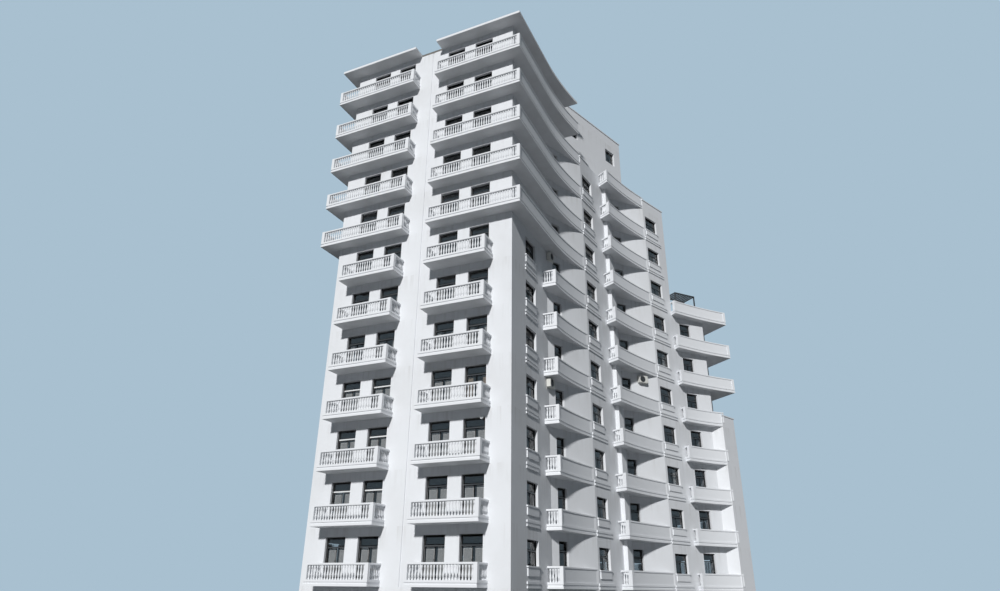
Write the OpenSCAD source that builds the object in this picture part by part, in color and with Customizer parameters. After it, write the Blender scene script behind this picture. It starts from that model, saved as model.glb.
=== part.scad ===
/* [Storeys] */
// Height from the ground to the underside of the first balcony slab
ground_h = 400; // [320:5:480]
// Floor to floor height of every storey above the ground storey
storey_h = 305; // [295:1:330]
// Storeys above the ground storey at the front of the building
front_storeys = 12; // [11:1:13]
// Storeys of the middle part, which ends at the upper roof terrace
middle_storeys = 10; // [9:1:10]
// Storeys of the far part, which ends at the lower roof terrace
far_storeys = 7; // [6:1:7]
// Storeys of the low block at the far corner
end_storeys = 4; // [3:1:5]
// Height of the parapets above their roof slab
parapet_h = 88; // [60:1:110]

/* [Walls and floors] */
// Thickness of the outer walls
wall_t = 30; // [24:1:36]
// Thickness of a floor slab and of a balcony slab
slab_t = 20; // [16:1:24]
// Thickness of the roof slabs and canopies
roof_t = 18; // [14:1:24]
// Height of the coping on a parapet
coping_h = 8; // [6:1:12]
// How far a coping stands out from its wall
coping_out = 5; // [3:1:8]
// Height of the plinth course round the foot of the walls
foot_h = 60; // [40:1:90]
// How far the plinth course stands out
foot_out = 8; // [5:1:12]
// Width of the joint that divides the front in two
joint_w = 7; // [5:1:10]
// Depth of the joints cut in the front
joint_d = 5; // [3:1:8]

/* [Front] */
// Width of the front between its two corners
front_w = 1304; // [1280:2:1340]
// Distance from the right corner to the joint down the middle of the front
front_joint_at = 643; // [630:1:655]
// Distance from the right corner to the middle of the right bay
right_bay_at = 336; // [330:1:342]
// Distance from the right corner to the middle of the left bay
left_bay_at = 976; // [968:1:984]
// Distance between the middles of the two doors of a bay
door_spacing = 222; // [210:1:236]
// Width of a balcony door
door_w = 137; // [120:1:150]
// Height of a door head above the underside of its balcony slab
door_head = 256; // [244:1:262]
// Width of the entrance door
entrance_w = 190; // [160:1:220]
// Height of the entrance door
entrance_h = 270; // [240:1:300]

/* [Balconies] */
// Width of a narrow balcony
narrow_w = 422; // [410:1:436]
// How far a narrow balcony stands out
narrow_d = 120; // [110:1:130]
// How far a wide balcony stands out from the front
wide_d = 95; // [88:1:104]
// Distance from a bay's middle to the inner end of its wide balcony
wide_in = 232; // [226:1:244]
// How far the wide balconies stand out past the corners of the front
wide_out = 93; // [86:1:102]
// Where the straight edge of the right wide balconies ends
curve_from = 427; // [400:1:450]
// How far the left wide balconies run back along the left wall
wrap_back = 915; // [860:5:960]
// Where the balconies of the near bay begin
near_bay_from = 503; // [490:1:520]

/* [Balustrades] */
// Height of the edge beam round a balcony, with its two mouldings
edge_h = 33; // [28:1:38]
// Width of the edge beam, seen from above
edge_w = 22; // [20:1:26]
// Height of each moulding of the edge beam
band_h = 12; // [9:1:13]
// Depth of the recess between the two mouldings
band_d = 4; // [3:1:6]
// Height of a handrail above the underside of its balcony slab
rail_top = 116; // [108:1:124]
// Thickness of a handrail
rail_h = 11; // [9:1:14]
// Distance between the axes of neighbouring balusters
baluster_pitch = 17.8; // [16.5:0.1:20]
// Largest radius of a baluster
baluster_r = 6; // [5:0.1:6.5]
// Thickness of a solid balustrade panel
panel_t = 14; // [11:1:16]

/* [Curved side] */
// Length of the side wall from the front corner to the first step
side_len = 976; // [960:2:1000]
// How far the first block steps out
first_step = 152; // [140:1:164]
// Length of the face of the first block
first_len = 348; // [330:1:360]
// Direction of the first block and of the bay beyond it
first_dir = 7.7; // [6:0.1:9.5]
// Length of the wall of the first bay
first_bay_len = 493; // [480:1:506]
// How far the second block steps out
second_step = 180; // [168:1:190]
// Length of the face of the second block
second_len = 301; // [286:1:314]
// Direction of the face of the second block
second_dir = 21.4; // [19:0.1:24]
// Direction of the wall of the second bay
second_bay_dir = 15.5; // [13:0.1:18]
// Distance along the second bay wall to the low end block
end_block_at = 278; // [268:1:288]
// How far the low end block steps out
end_step = 197; // [186:1:208]
// Length of the face of the low end block
end_len = 187; // [176:1:198]
// Direction of the face of the low end block
end_dir = 22; // [19:0.1:25]
// Rise of the curve in the edge of the first bay's balconies
first_bay_curve = 13; // [8:1:18]
// Rise of the curve in the edge of the second bay's balconies
second_bay_curve = 14; // [8:1:20]
// How far the first bay's balconies stand out at their near end
first_bay_out = 97; // [90:1:104]
// Direction of the near end of the first bay's balconies
first_bay_end = 120; // [114:1:126]
// How far the second bay's balconies stand out at their near end
second_bay_out = 54; // [50:1:60]
// Direction of the near end of the second bay's balconies
second_bay_end = 136; // [132:1:142]
// How far the top balconies of the second bay run on past the end block
second_bay_on = 192; // [180:1:204]

/* [Back] */
// Length of the left wall
left_len = 1403; // [1380:1:1430]
// Length of each of the four faces of the back wall
back_len = 634; // [620:1:648]
// Direction of the first face of the back wall
back_dir = 10; // [8:0.5:12]
// Turn from one face of the back wall to the next
back_turn = 12; // [10:0.5:13]
// Length of the set-back wall of the top storeys
setback_len = 848; // [830:1:860]
// Direction of the set-back wall of the top storeys
setback_dir = 19.5; // [18:0.1:20]

/* [Windows] */
// Width of a window
window_w = 165; // [150:1:176]
// Height of a window sill above the underside of the storey's slab
window_sill = 109; // [100:1:116]
// Height of a window
window_h = 131; // [120:1:140]
// Distance from a block's corner to its window
window_in = 24; // [18:1:30]
// Distance from the front corner to the window of the side wall
side_window_at = 214; // [200:1:226]
// Distance from the front corner to the balcony door of the side wall
side_door_at = 696; // [680:1:712]
// Distance from the first step to the door of the first bay
first_bay_door_at = 296; // [280:1:310]
// Distance from the second step to the door of the second bay
second_bay_door_at = 120; // [100:1:130]
// Height of the panel under a window
apron_h = 43; // [36:1:48]
// How far the panel under a window stands out
apron_out = 6; // [4:1:9]
// Distance between the axes of the windows on the unseen walls
unseen_pitch = 310; // [290:5:340]

/* [Pergola] */
// Width of a bar of the pergola on the lower roof terrace
pergola_bar = 9; // [7:1:12]
// Height of the pergola above the terrace
pergola_h = 235; // [215:1:250]
// Length of the pergola along the terrace edge
pergola_len = 205; // [180:1:220]

/* [Hidden] */

// Levels
function level(k) = ground_h + k * storey_h;
front_top = level(front_storeys);
middle_top = level(middle_storeys);
far_top = level(far_storeys);
end_top = level(end_storeys);
wide_from = far_storeys;

// Plan geometry: a direction is measured from +Y towards +X
function along(dir) = [sin(dir), cos(dir)];
function dir_of(p, q) = atan2(q[0] - p[0], q[1] - p[1]);
function left_of(u) = [-u[1], u[0]];
function unit(v) = v / norm(v);
function crossing(p, u, q, v) = p + u * cross(q - p, v) / cross(u, v);
function edge_dir(pts, i) = unit(pts[(i + 1) % len(pts)] - pts[i]);
function set_in(pts, depths) = [
    for (i = [0 : len(pts) - 1])
        let (before = (i + len(pts) - 1) % len(pts))
        let (u = edge_dir(pts, before), v = edge_dir(pts, i))
        crossing(pts[before] + left_of(u) * depths[before], u, pts[i] + left_of(v) * depths[i], v)
];
function all_round(pts, depth) = [for (p = pts) depth];

// Corners of the outer walls, in order round the building
front_right = [0, 0];
front_left = [-front_w, 0];
first_inner = [0, side_len];
first_outer = [first_step, side_len];
first_end = first_outer + along(first_dir) * first_len;
second_inner = first_end + along(first_dir) * first_bay_len;
second_outer = second_inner + [second_step, 0];
second_end = second_outer + along(second_dir) * second_len;
end_inner = second_end + along(second_bay_dir) * end_block_at;
end_outer = end_inner + [end_step, 0];
end_corner = end_outer + along(end_dir) * end_len;
left_end = front_left + [0, left_len];
back_1 = left_end + along(back_dir) * back_len;
back_2 = back_1 + along(back_dir + back_turn) * back_len;
back_3 = back_2 + along(back_dir + 2 * back_turn) * back_len;
back_4 = back_3 + along(back_dir + 3 * back_turn) * back_len;
bay_end = crossing(second_end, along(second_bay_dir), end_corner, back_4 - end_corner);
setback_end = first_inner + along(setback_dir) * setback_len;

ground_plan = [front_right, first_inner, first_outer, first_end, second_inner, second_outer,
    second_end, end_inner, end_outer, end_corner, back_4, back_3, back_2, back_1, left_end,
    front_left];
far_plan = [front_right, first_inner, first_outer, first_end, second_inner, second_outer,
    second_end, bay_end, back_4, back_3, back_2, back_1, left_end, front_left];
middle_plan = [front_right, first_inner, first_outer, first_end, second_inner, second_outer,
    second_end, back_2, back_1, left_end, front_left];
top_plan = [front_right, first_inner, setback_end, back_1, left_end, front_left];

// Balcony plans, each with its exposed edges marked 1
right_edge_x = wide_out;
left_edge_x = -front_w - wide_out;
curve_start = [right_edge_x, curve_from];
curve_dx = first_outer[0] - right_edge_x;
curve_dy = side_len - curve_from;
curve_r = (curve_dx * curve_dx + curve_dy * curve_dy) / (2 * curve_dx);
curve_centre = curve_start + [curve_r, 0];
near_bay_x = curve_centre[0] - sqrt(pow(curve_r, 2) - pow(near_bay_from - curve_from, 2));
near_bay_corner = [near_bay_x, near_bay_from];
first_bay_corner = first_end + along(first_bay_end) * first_bay_out;
second_bay_corner = second_end + along(second_bay_end) * second_bay_out;
second_bay_run = unit(end_outer - second_bay_corner);
second_bay_far = end_outer + second_bay_run * second_bay_on;

function arc_radius(p, q, rise) = (pow(norm(q - p) / 2, 2) + rise * rise) / (2 * rise);
function arc_centre(p, q, rise) =
    (p + q) / 2 + left_of(unit(q - p)) * (rise - arc_radius(p, q, rise));

// The whole building is moved so that the origin is under the middle of its box
box_low = [left_edge_x, -narrow_d];
box_high = [second_bay_far[0], set_in(ground_plan, all_round(ground_plan, -foot_out))[10][1]];
box_mid = (box_low + box_high) / 2;
entrance_at = front_w - front_joint_at - entrance_w / 2;
setback_window_w = 132;
setback_window_at = 92;
sill_h = 7;
sill_out = 10;
sill_on = 8;
band_out = 6;
band_on = 42;
pergola_deep = 90;
pergola_from = 30;
module placed() {
    translate([-box_mid[0], -box_mid[1], 0]) children();
}

white_render = "#ece9e6";
grey_render = "#d8d3cd";
soffit_grey = "#c9c3bc";
stone_grey = "#b9b2a8";
roof_grey = "#9c9791";
frame_grey = "#3a3d42";

// Walls
module wall_between(plan, i, z0, z1) {
    inner = set_in(plan, all_round(plan, wall_t));
    j = (i + 1) % len(plan);
    translate([0, 0, z0])
        linear_extrude(z1 - z0)
            polygon([plan[i], plan[j], inner[j], inner[i]]);
}

// The space taken by the storeys above a terrace
module storeys_above(plan, z) {
    translate([0, 0, z])
        linear_extrude(front_top)
            polygon(plan);
}

module opening(start, dir, at, w, z, h) {
    translate([start[0], start[1], z])
        rotate([0, 0, -dir])
            translate([-2 * wall_t, at, 0])
                cube([3 * wall_t, w, h]);
}

module door_row(start, dir, at, w, storeys) {
    for (k = storeys)
        opening(start, dir, at, w, level(k) + slab_t, door_head - slab_t);
}

module window_row(start, dir, at, w, storeys) {
    for (k = storeys)
        opening(start, dir, at, w, level(k) + window_sill, window_h);
}

// Evenly spaced windows of an unseen wall
module unseen_windows(p, q, storeys) {
    count = floor(norm(q - p) / unseen_pitch);
    first = (norm(q - p) - (count - 1) * unseen_pitch - window_w) / 2;
    for (i = [0 : count - 1])
        window_row(p, dir_of(p, q), first + i * unseen_pitch, window_w, storeys);
}

function bay_doors(bay_at) = [
    for (side = [-1, 1]) front_w - bay_at + side * door_spacing / 2 - door_w / 2
];

module front_wall() {
    color(white_render) placed() difference() {
        union() {
            wall_between(ground_plan, 15, 0, end_top);
            wall_between(far_plan, 13, end_top, far_top);
            wall_between(middle_plan, 10, far_top, middle_top);
            wall_between(top_plan, 5, middle_top, front_top);
        }
        for (bay_at = [right_bay_at, left_bay_at])
            for (at = bay_doors(bay_at))
                door_row(front_left, 90, at, door_w, [0 : front_storeys - 1]);
        opening(front_left, 90, entrance_at, entrance_w, slab_t, entrance_h - slab_t);
        translate([-front_joint_at - joint_w / 2, -1, level(0)])
            cube([joint_w, 1 + joint_d, front_top - level(0) + 1]);
    }
}

module side_wall() {
    color(white_render) placed() difference() {
        union() {
            wall_between(ground_plan, 0, 0, middle_top);
            wall_between(top_plan, 0, middle_top, front_top);
        }
        window_row(front_right, 0, side_window_at, window_w, [0 : front_storeys - 1]);
        door_row(front_right, 0, side_door_at, window_w, [0 : front_storeys - 1]);
    }
}

module first_block_wall() {
    color(white_render) placed() difference() {
        for (i = [1, 2])
            wall_between(ground_plan, i, 0, middle_top + parapet_h);
        storeys_above(top_plan, middle_top);
        window_row(first_outer, first_dir, window_in, window_w, [0 : middle_storeys - 1]);
    }
}

module first_bay_wall() {
    color(white_render) placed() difference() {
        wall_between(ground_plan, 3, 0, middle_top + slab_t);
        door_row(first_end, first_dir, first_bay_door_at, door_w, [0 : middle_storeys - 1]);
    }
}

module second_block_wall() {
    color(white_render) placed() difference() {
        union() {
            wall_between(ground_plan, 4, 0, middle_top + parapet_h);
            wall_between(ground_plan, 5, 0, far_top);
            wall_between(middle_plan, 5, far_top, middle_top + parapet_h);
        }
        window_row(second_outer, second_dir, window_in, window_w, [0 : middle_storeys - 1]);
    }
}

module second_bay_wall() {
    color(white_render) placed() difference() {
        union() {
            wall_between(ground_plan, 6, 0, end_top);
            wall_between(far_plan, 6, end_top, far_top + slab_t);
        }
        plate(ground_plan, end_top, slab_t);
        storeys_above(middle_plan, far_top);
        door_row(second_end, second_bay_dir, second_bay_door_at, door_w, [0 : far_storeys - 1]);
    }
}

module end_block_wall() {
    color(white_render) placed() difference() {
        for (i = [7, 8])
            wall_between(ground_plan, i, 0, end_top + parapet_h);
        storeys_above(far_plan, end_top);
    }
}

module end_wall() {
    color(grey_render) placed() difference() {
        union() {
            wall_between(ground_plan, 9, 0, end_top + parapet_h);
            wall_between(far_plan, 7, end_top, far_top + parapet_h);
        }
        unseen_windows(bay_end, back_4, [0 : far_storeys - 1]);
    }
}

module back_wall_far() {
    color(grey_render) placed() difference() {
        for (i = [10, 11])
            wall_between(ground_plan, i, 0, far_top + parapet_h);
        storeys_above(middle_plan, far_top);
        unseen_windows(back_4, back_3, [0 : far_storeys - 1]);
        unseen_windows(back_3, back_2, [0 : far_storeys - 1]);
    }
}

module back_wall_middle() {
    color(grey_render) placed() difference() {
        union() {
            wall_between(ground_plan, 12, 0, far_top);
            wall_between(middle_plan, 7, far_top, middle_top + parapet_h);
        }
        storeys_above(top_plan, middle_top);
        unseen_windows(back_2, back_1, [0 : middle_storeys - 1]);
    }
}

module back_wall_near() {
    color(grey_render) placed() difference() {
        union() {
            wall_between(ground_plan, 13, 0, middle_top);
            wall_between(top_plan, 3, middle_top, front_top + parapet_h);
        }
        unseen_windows(back_1, left_end, [0 : front_storeys - 1]);
    }
}

module left_wall() {
    color(white_render) placed() difference() {
        wall_between(ground_plan, 14, 0, front_top);
        unseen_windows(left_end, front_left, [0 : front_storeys - 1]);
    }
}

module setback_wall() {
    color(white_render) placed() difference() {
        wall_between(top_plan, 1, middle_top + slab_t, front_top + parapet_h);
        for (at = [setback_window_at, setback_len - setback_window_at - setback_window_w])
            window_row(first_inner, setback_dir, at, setback_window_w,
                [middle_storeys : front_storeys - 1]);
    }
}

module upper_step_wall() {
    color(white_render) placed()
        wall_between(top_plan, 2, middle_top + slab_t, front_top + parapet_h);
}

module lower_step_wall() {
    color(white_render) placed()
        wall_between(middle_plan, 6, far_top + slab_t, middle_top + parapet_h);
}

// Floors fit between the inner faces of the walls
module plate(plan, z, t) {
    translate([0, 0, z])
        linear_extrude(t)
            polygon(set_in(plan, all_round(plan, wall_t)));
}

module floors() {
    color(grey_render) placed() {
        plate(ground_plan, 0, slab_t);
        for (k = [0 : front_storeys - 1]) {
            plan = k <= end_storeys ? ground_plan
                : k <= far_storeys ? far_plan
                : k <= middle_storeys ? middle_plan : top_plan;
            plate(plan, level(k), slab_t);
        }
    }
}

// The roof covers the front, side and left walls and fits inside the parapets
module main_roof() {
    color(roof_grey) placed()
        translate([0, 0, front_top])
            linear_extrude(roof_t)
                polygon(set_in(top_plan, [0, wall_t, wall_t, wall_t, 0, 0]));
}

module coping(plan, edges, z) {
    outer = set_in(plan, all_round(plan, -coping_out));
    inner = set_in(plan, all_round(plan, wall_t + coping_out));
    for (i = edges) {
        j = (i + 1) % len(plan);
        translate([0, 0, z])
            linear_extrude(coping_h)
                polygon([outer[i], outer[j], inner[j], inner[i]]);
    }
}

module parapet_copings() {
    color(white_render) placed() {
        coping(top_plan, [1, 2, 3], front_top + parapet_h);
        difference() {
            coping(middle_plan, [1, 2], middle_top + parapet_h);
            storeys_above(top_plan, middle_top);
        }
        difference() {
            coping(middle_plan, [4, 5, 6, 7], middle_top + parapet_h);
            storeys_above(top_plan, middle_top);
        }
        difference() {
            coping(far_plan, [7, 8, 9], far_top + parapet_h);
            storeys_above(middle_plan, far_top);
        }
        difference() {
            coping(ground_plan, [7, 8, 9], end_top + parapet_h);
            storeys_above(far_plan, end_top);
        }
    }
}

module plinth_course() {
    outer = set_in(ground_plan, all_round(ground_plan, -foot_out));
    color(stone_grey) placed() difference() {
        linear_extrude(foot_h)
            polygon(outer);
        translate([0, 0, -1])
            linear_extrude(foot_h + 2)
                polygon(ground_plan);
        translate([-front_w + entrance_at, -2 * foot_out, -1])
            cube([entrance_w, 3 * foot_out, foot_h + 2]);
    }
}

// One layer of a balcony slab, whose free edges stand back by $back
module layer(z, h, back) {
    $back = back;
    translate([0, 0, z])
        linear_extrude(h)
            children();
}

// A balcony slab with its moulded edge beam, open above the floor
module balcony_slab(k) {
    translate([0, 0, level(k)]) difference() {
        union() {
            layer(0, band_h, 0) children();
            layer(band_h, edge_h - 2 * band_h, band_d) children();
            layer(edge_h - band_h, band_h, 0) children();
        }
        layer(slab_t, edge_h, edge_w) children();
    }
}

module balcony_plan(pts, free, centre, r) {
    difference() {
        polygon(set_in(pts, free * $back));
        if (r > 0)
            translate(centre)
                circle(r + $back, $fn = 720);
    }
}

function narrow_pts(bay_at) =
    let (x0 = -bay_at - narrow_w / 2, x1 = -bay_at + narrow_w / 2)
    [[x0, 0], [x0, -narrow_d], [x1, -narrow_d], [x1, 0]];
right_wide_pts = [[-right_bay_at - wide_in, 0], [-right_bay_at - wide_in, -wide_d],
    [right_edge_x, -wide_d], curve_start, first_outer, first_inner, front_right];
left_wide_pts = [[-front_w, wrap_back], [left_edge_x, wrap_back], [left_edge_x, -wide_d],
    [-left_bay_at + wide_in, -wide_d], [-left_bay_at + wide_in, 0], front_left];
near_bay_pts = [[0, near_bay_from], near_bay_corner, first_outer, first_inner];
first_bay_pts = [first_end, first_bay_corner, second_outer, second_inner];
low_bay_pts = [second_end, second_bay_corner, end_outer, end_inner];
high_bay_pts = [second_end, second_bay_corner, second_bay_far, bay_end];

first_bay_r = arc_radius(first_bay_corner, second_outer, first_bay_curve);
first_bay_c = arc_centre(first_bay_corner, second_outer, first_bay_curve);
low_bay_r = arc_radius(second_bay_corner, end_outer, second_bay_curve);
low_bay_c = arc_centre(second_bay_corner, end_outer, second_bay_curve);
high_bay_r = arc_radius(second_bay_corner, second_bay_far, second_bay_curve);
high_bay_c = arc_centre(second_bay_corner, second_bay_far, second_bay_curve);

module right_wide_plan() {
    balcony_plan(right_wide_pts, [1, 1, 1, 1, 0, 0, 0], curve_centre, curve_r);
}

module left_wide_plan() {
    balcony_plan(left_wide_pts, [1, 1, 1, 1, 0, 0], [0, 0], 0);
}

module canopies() {
    color(soffit_grey) placed()
        translate([0, 0, front_top]) difference() {
            union() {
                layer(0, roof_t, 0) right_wide_plan();
                layer(0, roof_t, 0) left_wide_plan();
            }
            translate([0, 0, -1])
                linear_extrude(roof_t + 2)
                    polygon(top_plan);
        }
}

module narrow_slabs() {
    color(white_render) placed()
        for (k = [0 : wide_from - 1])
            for (bay_at = [right_bay_at, left_bay_at])
                balcony_slab(k)
                    balcony_plan(narrow_pts(bay_at), [1, 1, 1, 0], [0, 0], 0);
}

module wide_slabs() {
    color(white_render) placed()
        for (k = [wide_from : front_storeys - 1]) {
            balcony_slab(k) right_wide_plan();
            balcony_slab(k) left_wide_plan();
        }
}

module near_bay_slabs() {
    color(white_render) placed()
        for (k = [0 : wide_from - 1])
            balcony_slab(k)
                balcony_plan(near_bay_pts, [1, 1, 0, 0], curve_centre, curve_r);
}

module first_bay_slabs() {
    color(white_render) placed()
        for (k = [0 : middle_storeys])
            balcony_slab(k)
                balcony_plan(first_bay_pts, [1, 1, 0, 0], first_bay_c, first_bay_r);
}

module second_bay_slabs() {
    color(white_render) placed() {
        for (k = [0 : end_storeys])
            balcony_slab(k)
                balcony_plan(low_bay_pts, [1, 1, 0, 0], low_bay_c, low_bay_r);
        for (k = [end_storeys + 1 : far_storeys])
            balcony_slab(k)
                balcony_plan(high_bay_pts, [1, 1, 1, 0], high_bay_c, high_bay_r);
    }
}

// Profiles of the balustrades: distance in from the outer face, then height
rail_foot = rail_top - rail_h;
chamfer = 2;
rail_profile = [[0, rail_foot + chamfer], [chamfer, rail_foot], [edge_w - chamfer, rail_foot],
    [edge_w, rail_foot + chamfer], [edge_w, rail_top - chamfer], [edge_w - chamfer, rail_top],
    [chamfer, rail_top], [0, rail_top - chamfer]];
panel_in = (edge_w - panel_t) / 2;
panel_profile = [[panel_in, edge_h], [edge_w - panel_in, edge_h], [edge_w - panel_in, rail_foot],
    [edge_w - chamfer, rail_foot], [edge_w, rail_foot + chamfer], [edge_w, rail_top - chamfer],
    [edge_w - chamfer, rail_top], [chamfer, rail_top], [0, rail_top - chamfer],
    [0, rail_foot + chamfer], [chamfer, rail_foot], [panel_in, rail_foot]];

// A turned baluster stands on the edge beam and carries the handrail
module baluster() {
    h = rail_foot - edge_h;
    r = baluster_r;
    translate([0, 0, edge_h])
        rotate_extrude($fn = 24)
            polygon([[0, 0], [r * 0.85, 0], [r * 0.85, h * 0.07], [r * 0.5, h * 0.13],
                [r, h * 0.33], [r * 0.42, h * 0.72], [r * 0.75, h * 0.86], [r * 0.75, h], [0, h]]);
}

// A straight length of balustrade from p to q, held back at its two ends
module straight_run(p, q, start, finish, profile) {
    run = norm(q - p) - start - finish;
    translate(p)
        rotate([0, 0, -dir_of(p, q)])
            translate([0, start + run, 0])
                rotate([90, 0, 0])
                    linear_extrude(run)
                        polygon([for (v = profile) [-v[0], v[1]]]);
}

// Balusters under a handrail, which may run on past the first of them into a wall
module baluster_run(p, q, start, finish, on = 0) {
    run = norm(q - p) - start - finish;
    count = round(run / baluster_pitch);
    straight_run(p, q, start - on, finish, rail_profile);
    translate(p)
        rotate([0, 0, -dir_of(p, q)])
            for (i = [0 : count - 1])
                translate([-edge_w / 2, start + (i + 0.5) * run / count, 0])
                    baluster();
}

// A curved length of balustrade, between two distances along the arc from p
module arc_run(centre, r, p, start, finish, profile) {
    from_angle = atan2(p[1] - centre[1], p[0] - centre[0]);
    per_mm = 180 / (PI * r);
    translate(centre)
        rotate([0, 0, from_angle - finish * per_mm])
            rotate_extrude(angle = (finish - start) * per_mm, $fn = 720)
                polygon([for (v = profile) [r + v[0], v[1]]]);
}

function arc_length(centre, r, p, q) = 2 * asin(norm(q - p) / (2 * r)) * PI * r / 180;
function arc_dir(centre, p) = unit(left_of(centre - p));

// A post at a corner, between the edge that arrives and the edge that leaves
function post_reach(u, v) = edge_w * tan(acos(u * v) / 2);
module corner_post(p, u, v) {
    reach = post_reach(u, v);
    translate([0, 0, edge_h])
        linear_extrude(rail_top - edge_h)
            polygon([p, p + v * reach, p + v * reach + left_of(v) * edge_w, p - u * reach]);
}

// The balustrades of the narrow balconies: baluster rows between square corner posts
module narrow_balustrades() {
    color(white_render) placed()
        for (k = [0 : wide_from - 1])
            for (bay_at = [right_bay_at, left_bay_at]) {
                pts = narrow_pts(bay_at);
                translate([0, 0, level(k)]) {
                    baluster_run(pts[0], pts[1], 0, edge_w);
                    baluster_run(pts[1], pts[2], edge_w, edge_w);
                    baluster_run(pts[2], pts[3], edge_w, 0);
                }
            }
}

module square_posts(pts, corners) {
    for (i = corners)
        corner_post(pts[i], edge_dir(pts, i - 1), edge_dir(pts, i));
}

module narrow_posts() {
    color(white_render) placed()
        for (k = [0 : wide_from - 1])
            for (bay_at = [right_bay_at, left_bay_at])
                translate([0, 0, level(k)])
                    square_posts(narrow_pts(bay_at), [1, 2]);
}

// Baluster rows along the front and the inner end of the wide balconies
module wide_balustrades() {
    color(white_render) placed()
        for (k = [wide_from : front_storeys - 1])
            translate([0, 0, level(k)]) {
                baluster_run(right_wide_pts[0], right_wide_pts[1], 0, edge_w);
                baluster_run(right_wide_pts[1], right_wide_pts[2], edge_w, edge_w);
                baluster_run(left_wide_pts[2], left_wide_pts[3], edge_w, edge_w);
                baluster_run(left_wide_pts[3], left_wide_pts[4], edge_w, 0);
            }
}

// What runs into a wall ends at the wall's face
module outside(plan) {
    difference() {
        children();
        linear_extrude(rail_top + 1)
            polygon(plan);
    }
}

// Solid panels round the sides of the wide balconies, curved on the right
module wide_side_panels() {
    bend = arc_length(curve_centre, curve_r, curve_start, first_outer);
    color(white_render) placed()
        for (k = [wide_from : front_storeys - 1])
            translate([0, 0, level(k)]) {
                straight_run(right_wide_pts[2], curve_start, edge_w, 0, panel_profile);
                outside(far_plan)
                    arc_run(curve_centre, curve_r, curve_start, 0, bend + edge_w, panel_profile);
                straight_run(left_wide_pts[0], left_wide_pts[1], 0, edge_w, panel_profile);
                straight_run(left_wide_pts[1], left_wide_pts[2], edge_w, edge_w, panel_profile);
            }
}

module wide_posts() {
    color(white_render) placed()
        for (k = [wide_from : front_storeys - 1])
            translate([0, 0, level(k)]) {
                square_posts(right_wide_pts, [1, 2]);
                square_posts(left_wide_pts, [1, 2, 3]);
            }
}

// The balustrade of a bay: a short baluster row at its end and a curved panel along its edge
module bay_end_run(pts, centre) {
    v = arc_dir(centre, pts[1]);
    u = edge_dir(pts, 0);
    baluster_run(pts[0], pts[1], edge_w / 4, post_reach(u, v), edge_w);
    corner_post(pts[1], u, v);
}

module bay_edge_run(pts, centre, r, finish) {
    reach = post_reach(edge_dir(pts, 0), arc_dir(centre, pts[1]));
    bend = arc_length(centre, r, pts[1], pts[2]);
    arc_run(centre, r, pts[1], reach, bend + finish, panel_profile);
}

module bay_balustrade(k, plan, pts, centre, r) {
    translate([0, 0, level(k)])
        outside(plan) {
            bay_end_run(pts, centre);
            bay_edge_run(pts, centre, r, edge_w);
        }
}

module near_bay_balustrades() {
    color(white_render) placed()
        for (k = [0 : wide_from - 1])
            bay_balustrade(k, ground_plan, near_bay_pts, curve_centre, curve_r);
}

module first_bay_balustrades() {
    color(white_render) placed()
        for (k = [0 : middle_storeys])
            bay_balustrade(k, ground_plan, first_bay_pts, first_bay_c, first_bay_r);
}

// The top balconies of the second bay end in a panel that runs back to the end wall
module high_bay_balustrade(k) {
    u = arc_dir(high_bay_c, second_bay_far);
    v = edge_dir(high_bay_pts, 2);
    reach = post_reach(u, v);
    translate([0, 0, level(k)]) {
        outside(far_plan) {
            bay_end_run(high_bay_pts, high_bay_c);
            straight_run(second_bay_far, bay_end, reach, -edge_w, panel_profile);
        }
        bay_edge_run(high_bay_pts, high_bay_c, high_bay_r, -reach);
        corner_post(second_bay_far, u, v);
    }
}

module second_bay_balustrades() {
    color(white_render) placed() {
        for (k = [0 : end_storeys])
            bay_balustrade(k, ground_plan, low_bay_pts, low_bay_c, low_bay_r);
        for (k = [end_storeys + 1 : far_storeys])
            high_bay_balustrade(k);
    }
}

// Panels and mouldings that stand out from a wall
module on_wall(start, dir, at, w, z, h, out) {
    translate([start[0], start[1], z])
        rotate([0, 0, -dir])
            translate([0, at, 0])
                cube([out, w, h]);
}

module apron(start, dir, at, k) {
    on_wall(start, dir, at, window_w, level(k) + window_sill - sill_h - apron_h, apron_h, apron_out);
    on_wall(start, dir, at - sill_on, window_w + 2 * sill_on, level(k) + window_sill - sill_h,
        sill_h, sill_out);
}

module window_aprons() {
    color(white_render) placed() {
        for (k = [0 : front_storeys - 1])
            apron(front_right, 0, side_window_at, k);
        for (k = [0 : middle_storeys - 1]) {
            apron(first_outer, first_dir, window_in, k);
            apron(second_outer, second_dir, window_in, k);
        }
    }
}

// The two mouldings of the balcony edges run on under the windows
module band_pair(start, dir, at, w, k) {
    for (z = [0, edge_h - band_h])
        on_wall(start, dir, at, w, level(k) + z, band_h, band_out);
}

module window_bands() {
    color(white_render) placed() {
        for (k = [0 : wide_from - 1])
            band_pair(front_right, 0, side_window_at - sill_on, window_w + 2 * sill_on, k);
        for (k = [0 : middle_storeys - 1]) {
            band_pair(first_outer, first_dir, 0, window_in + window_w + band_on, k);
            band_pair(second_outer, second_dir, 0, window_in + window_w + band_on, k);
        }
    }
}

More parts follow.
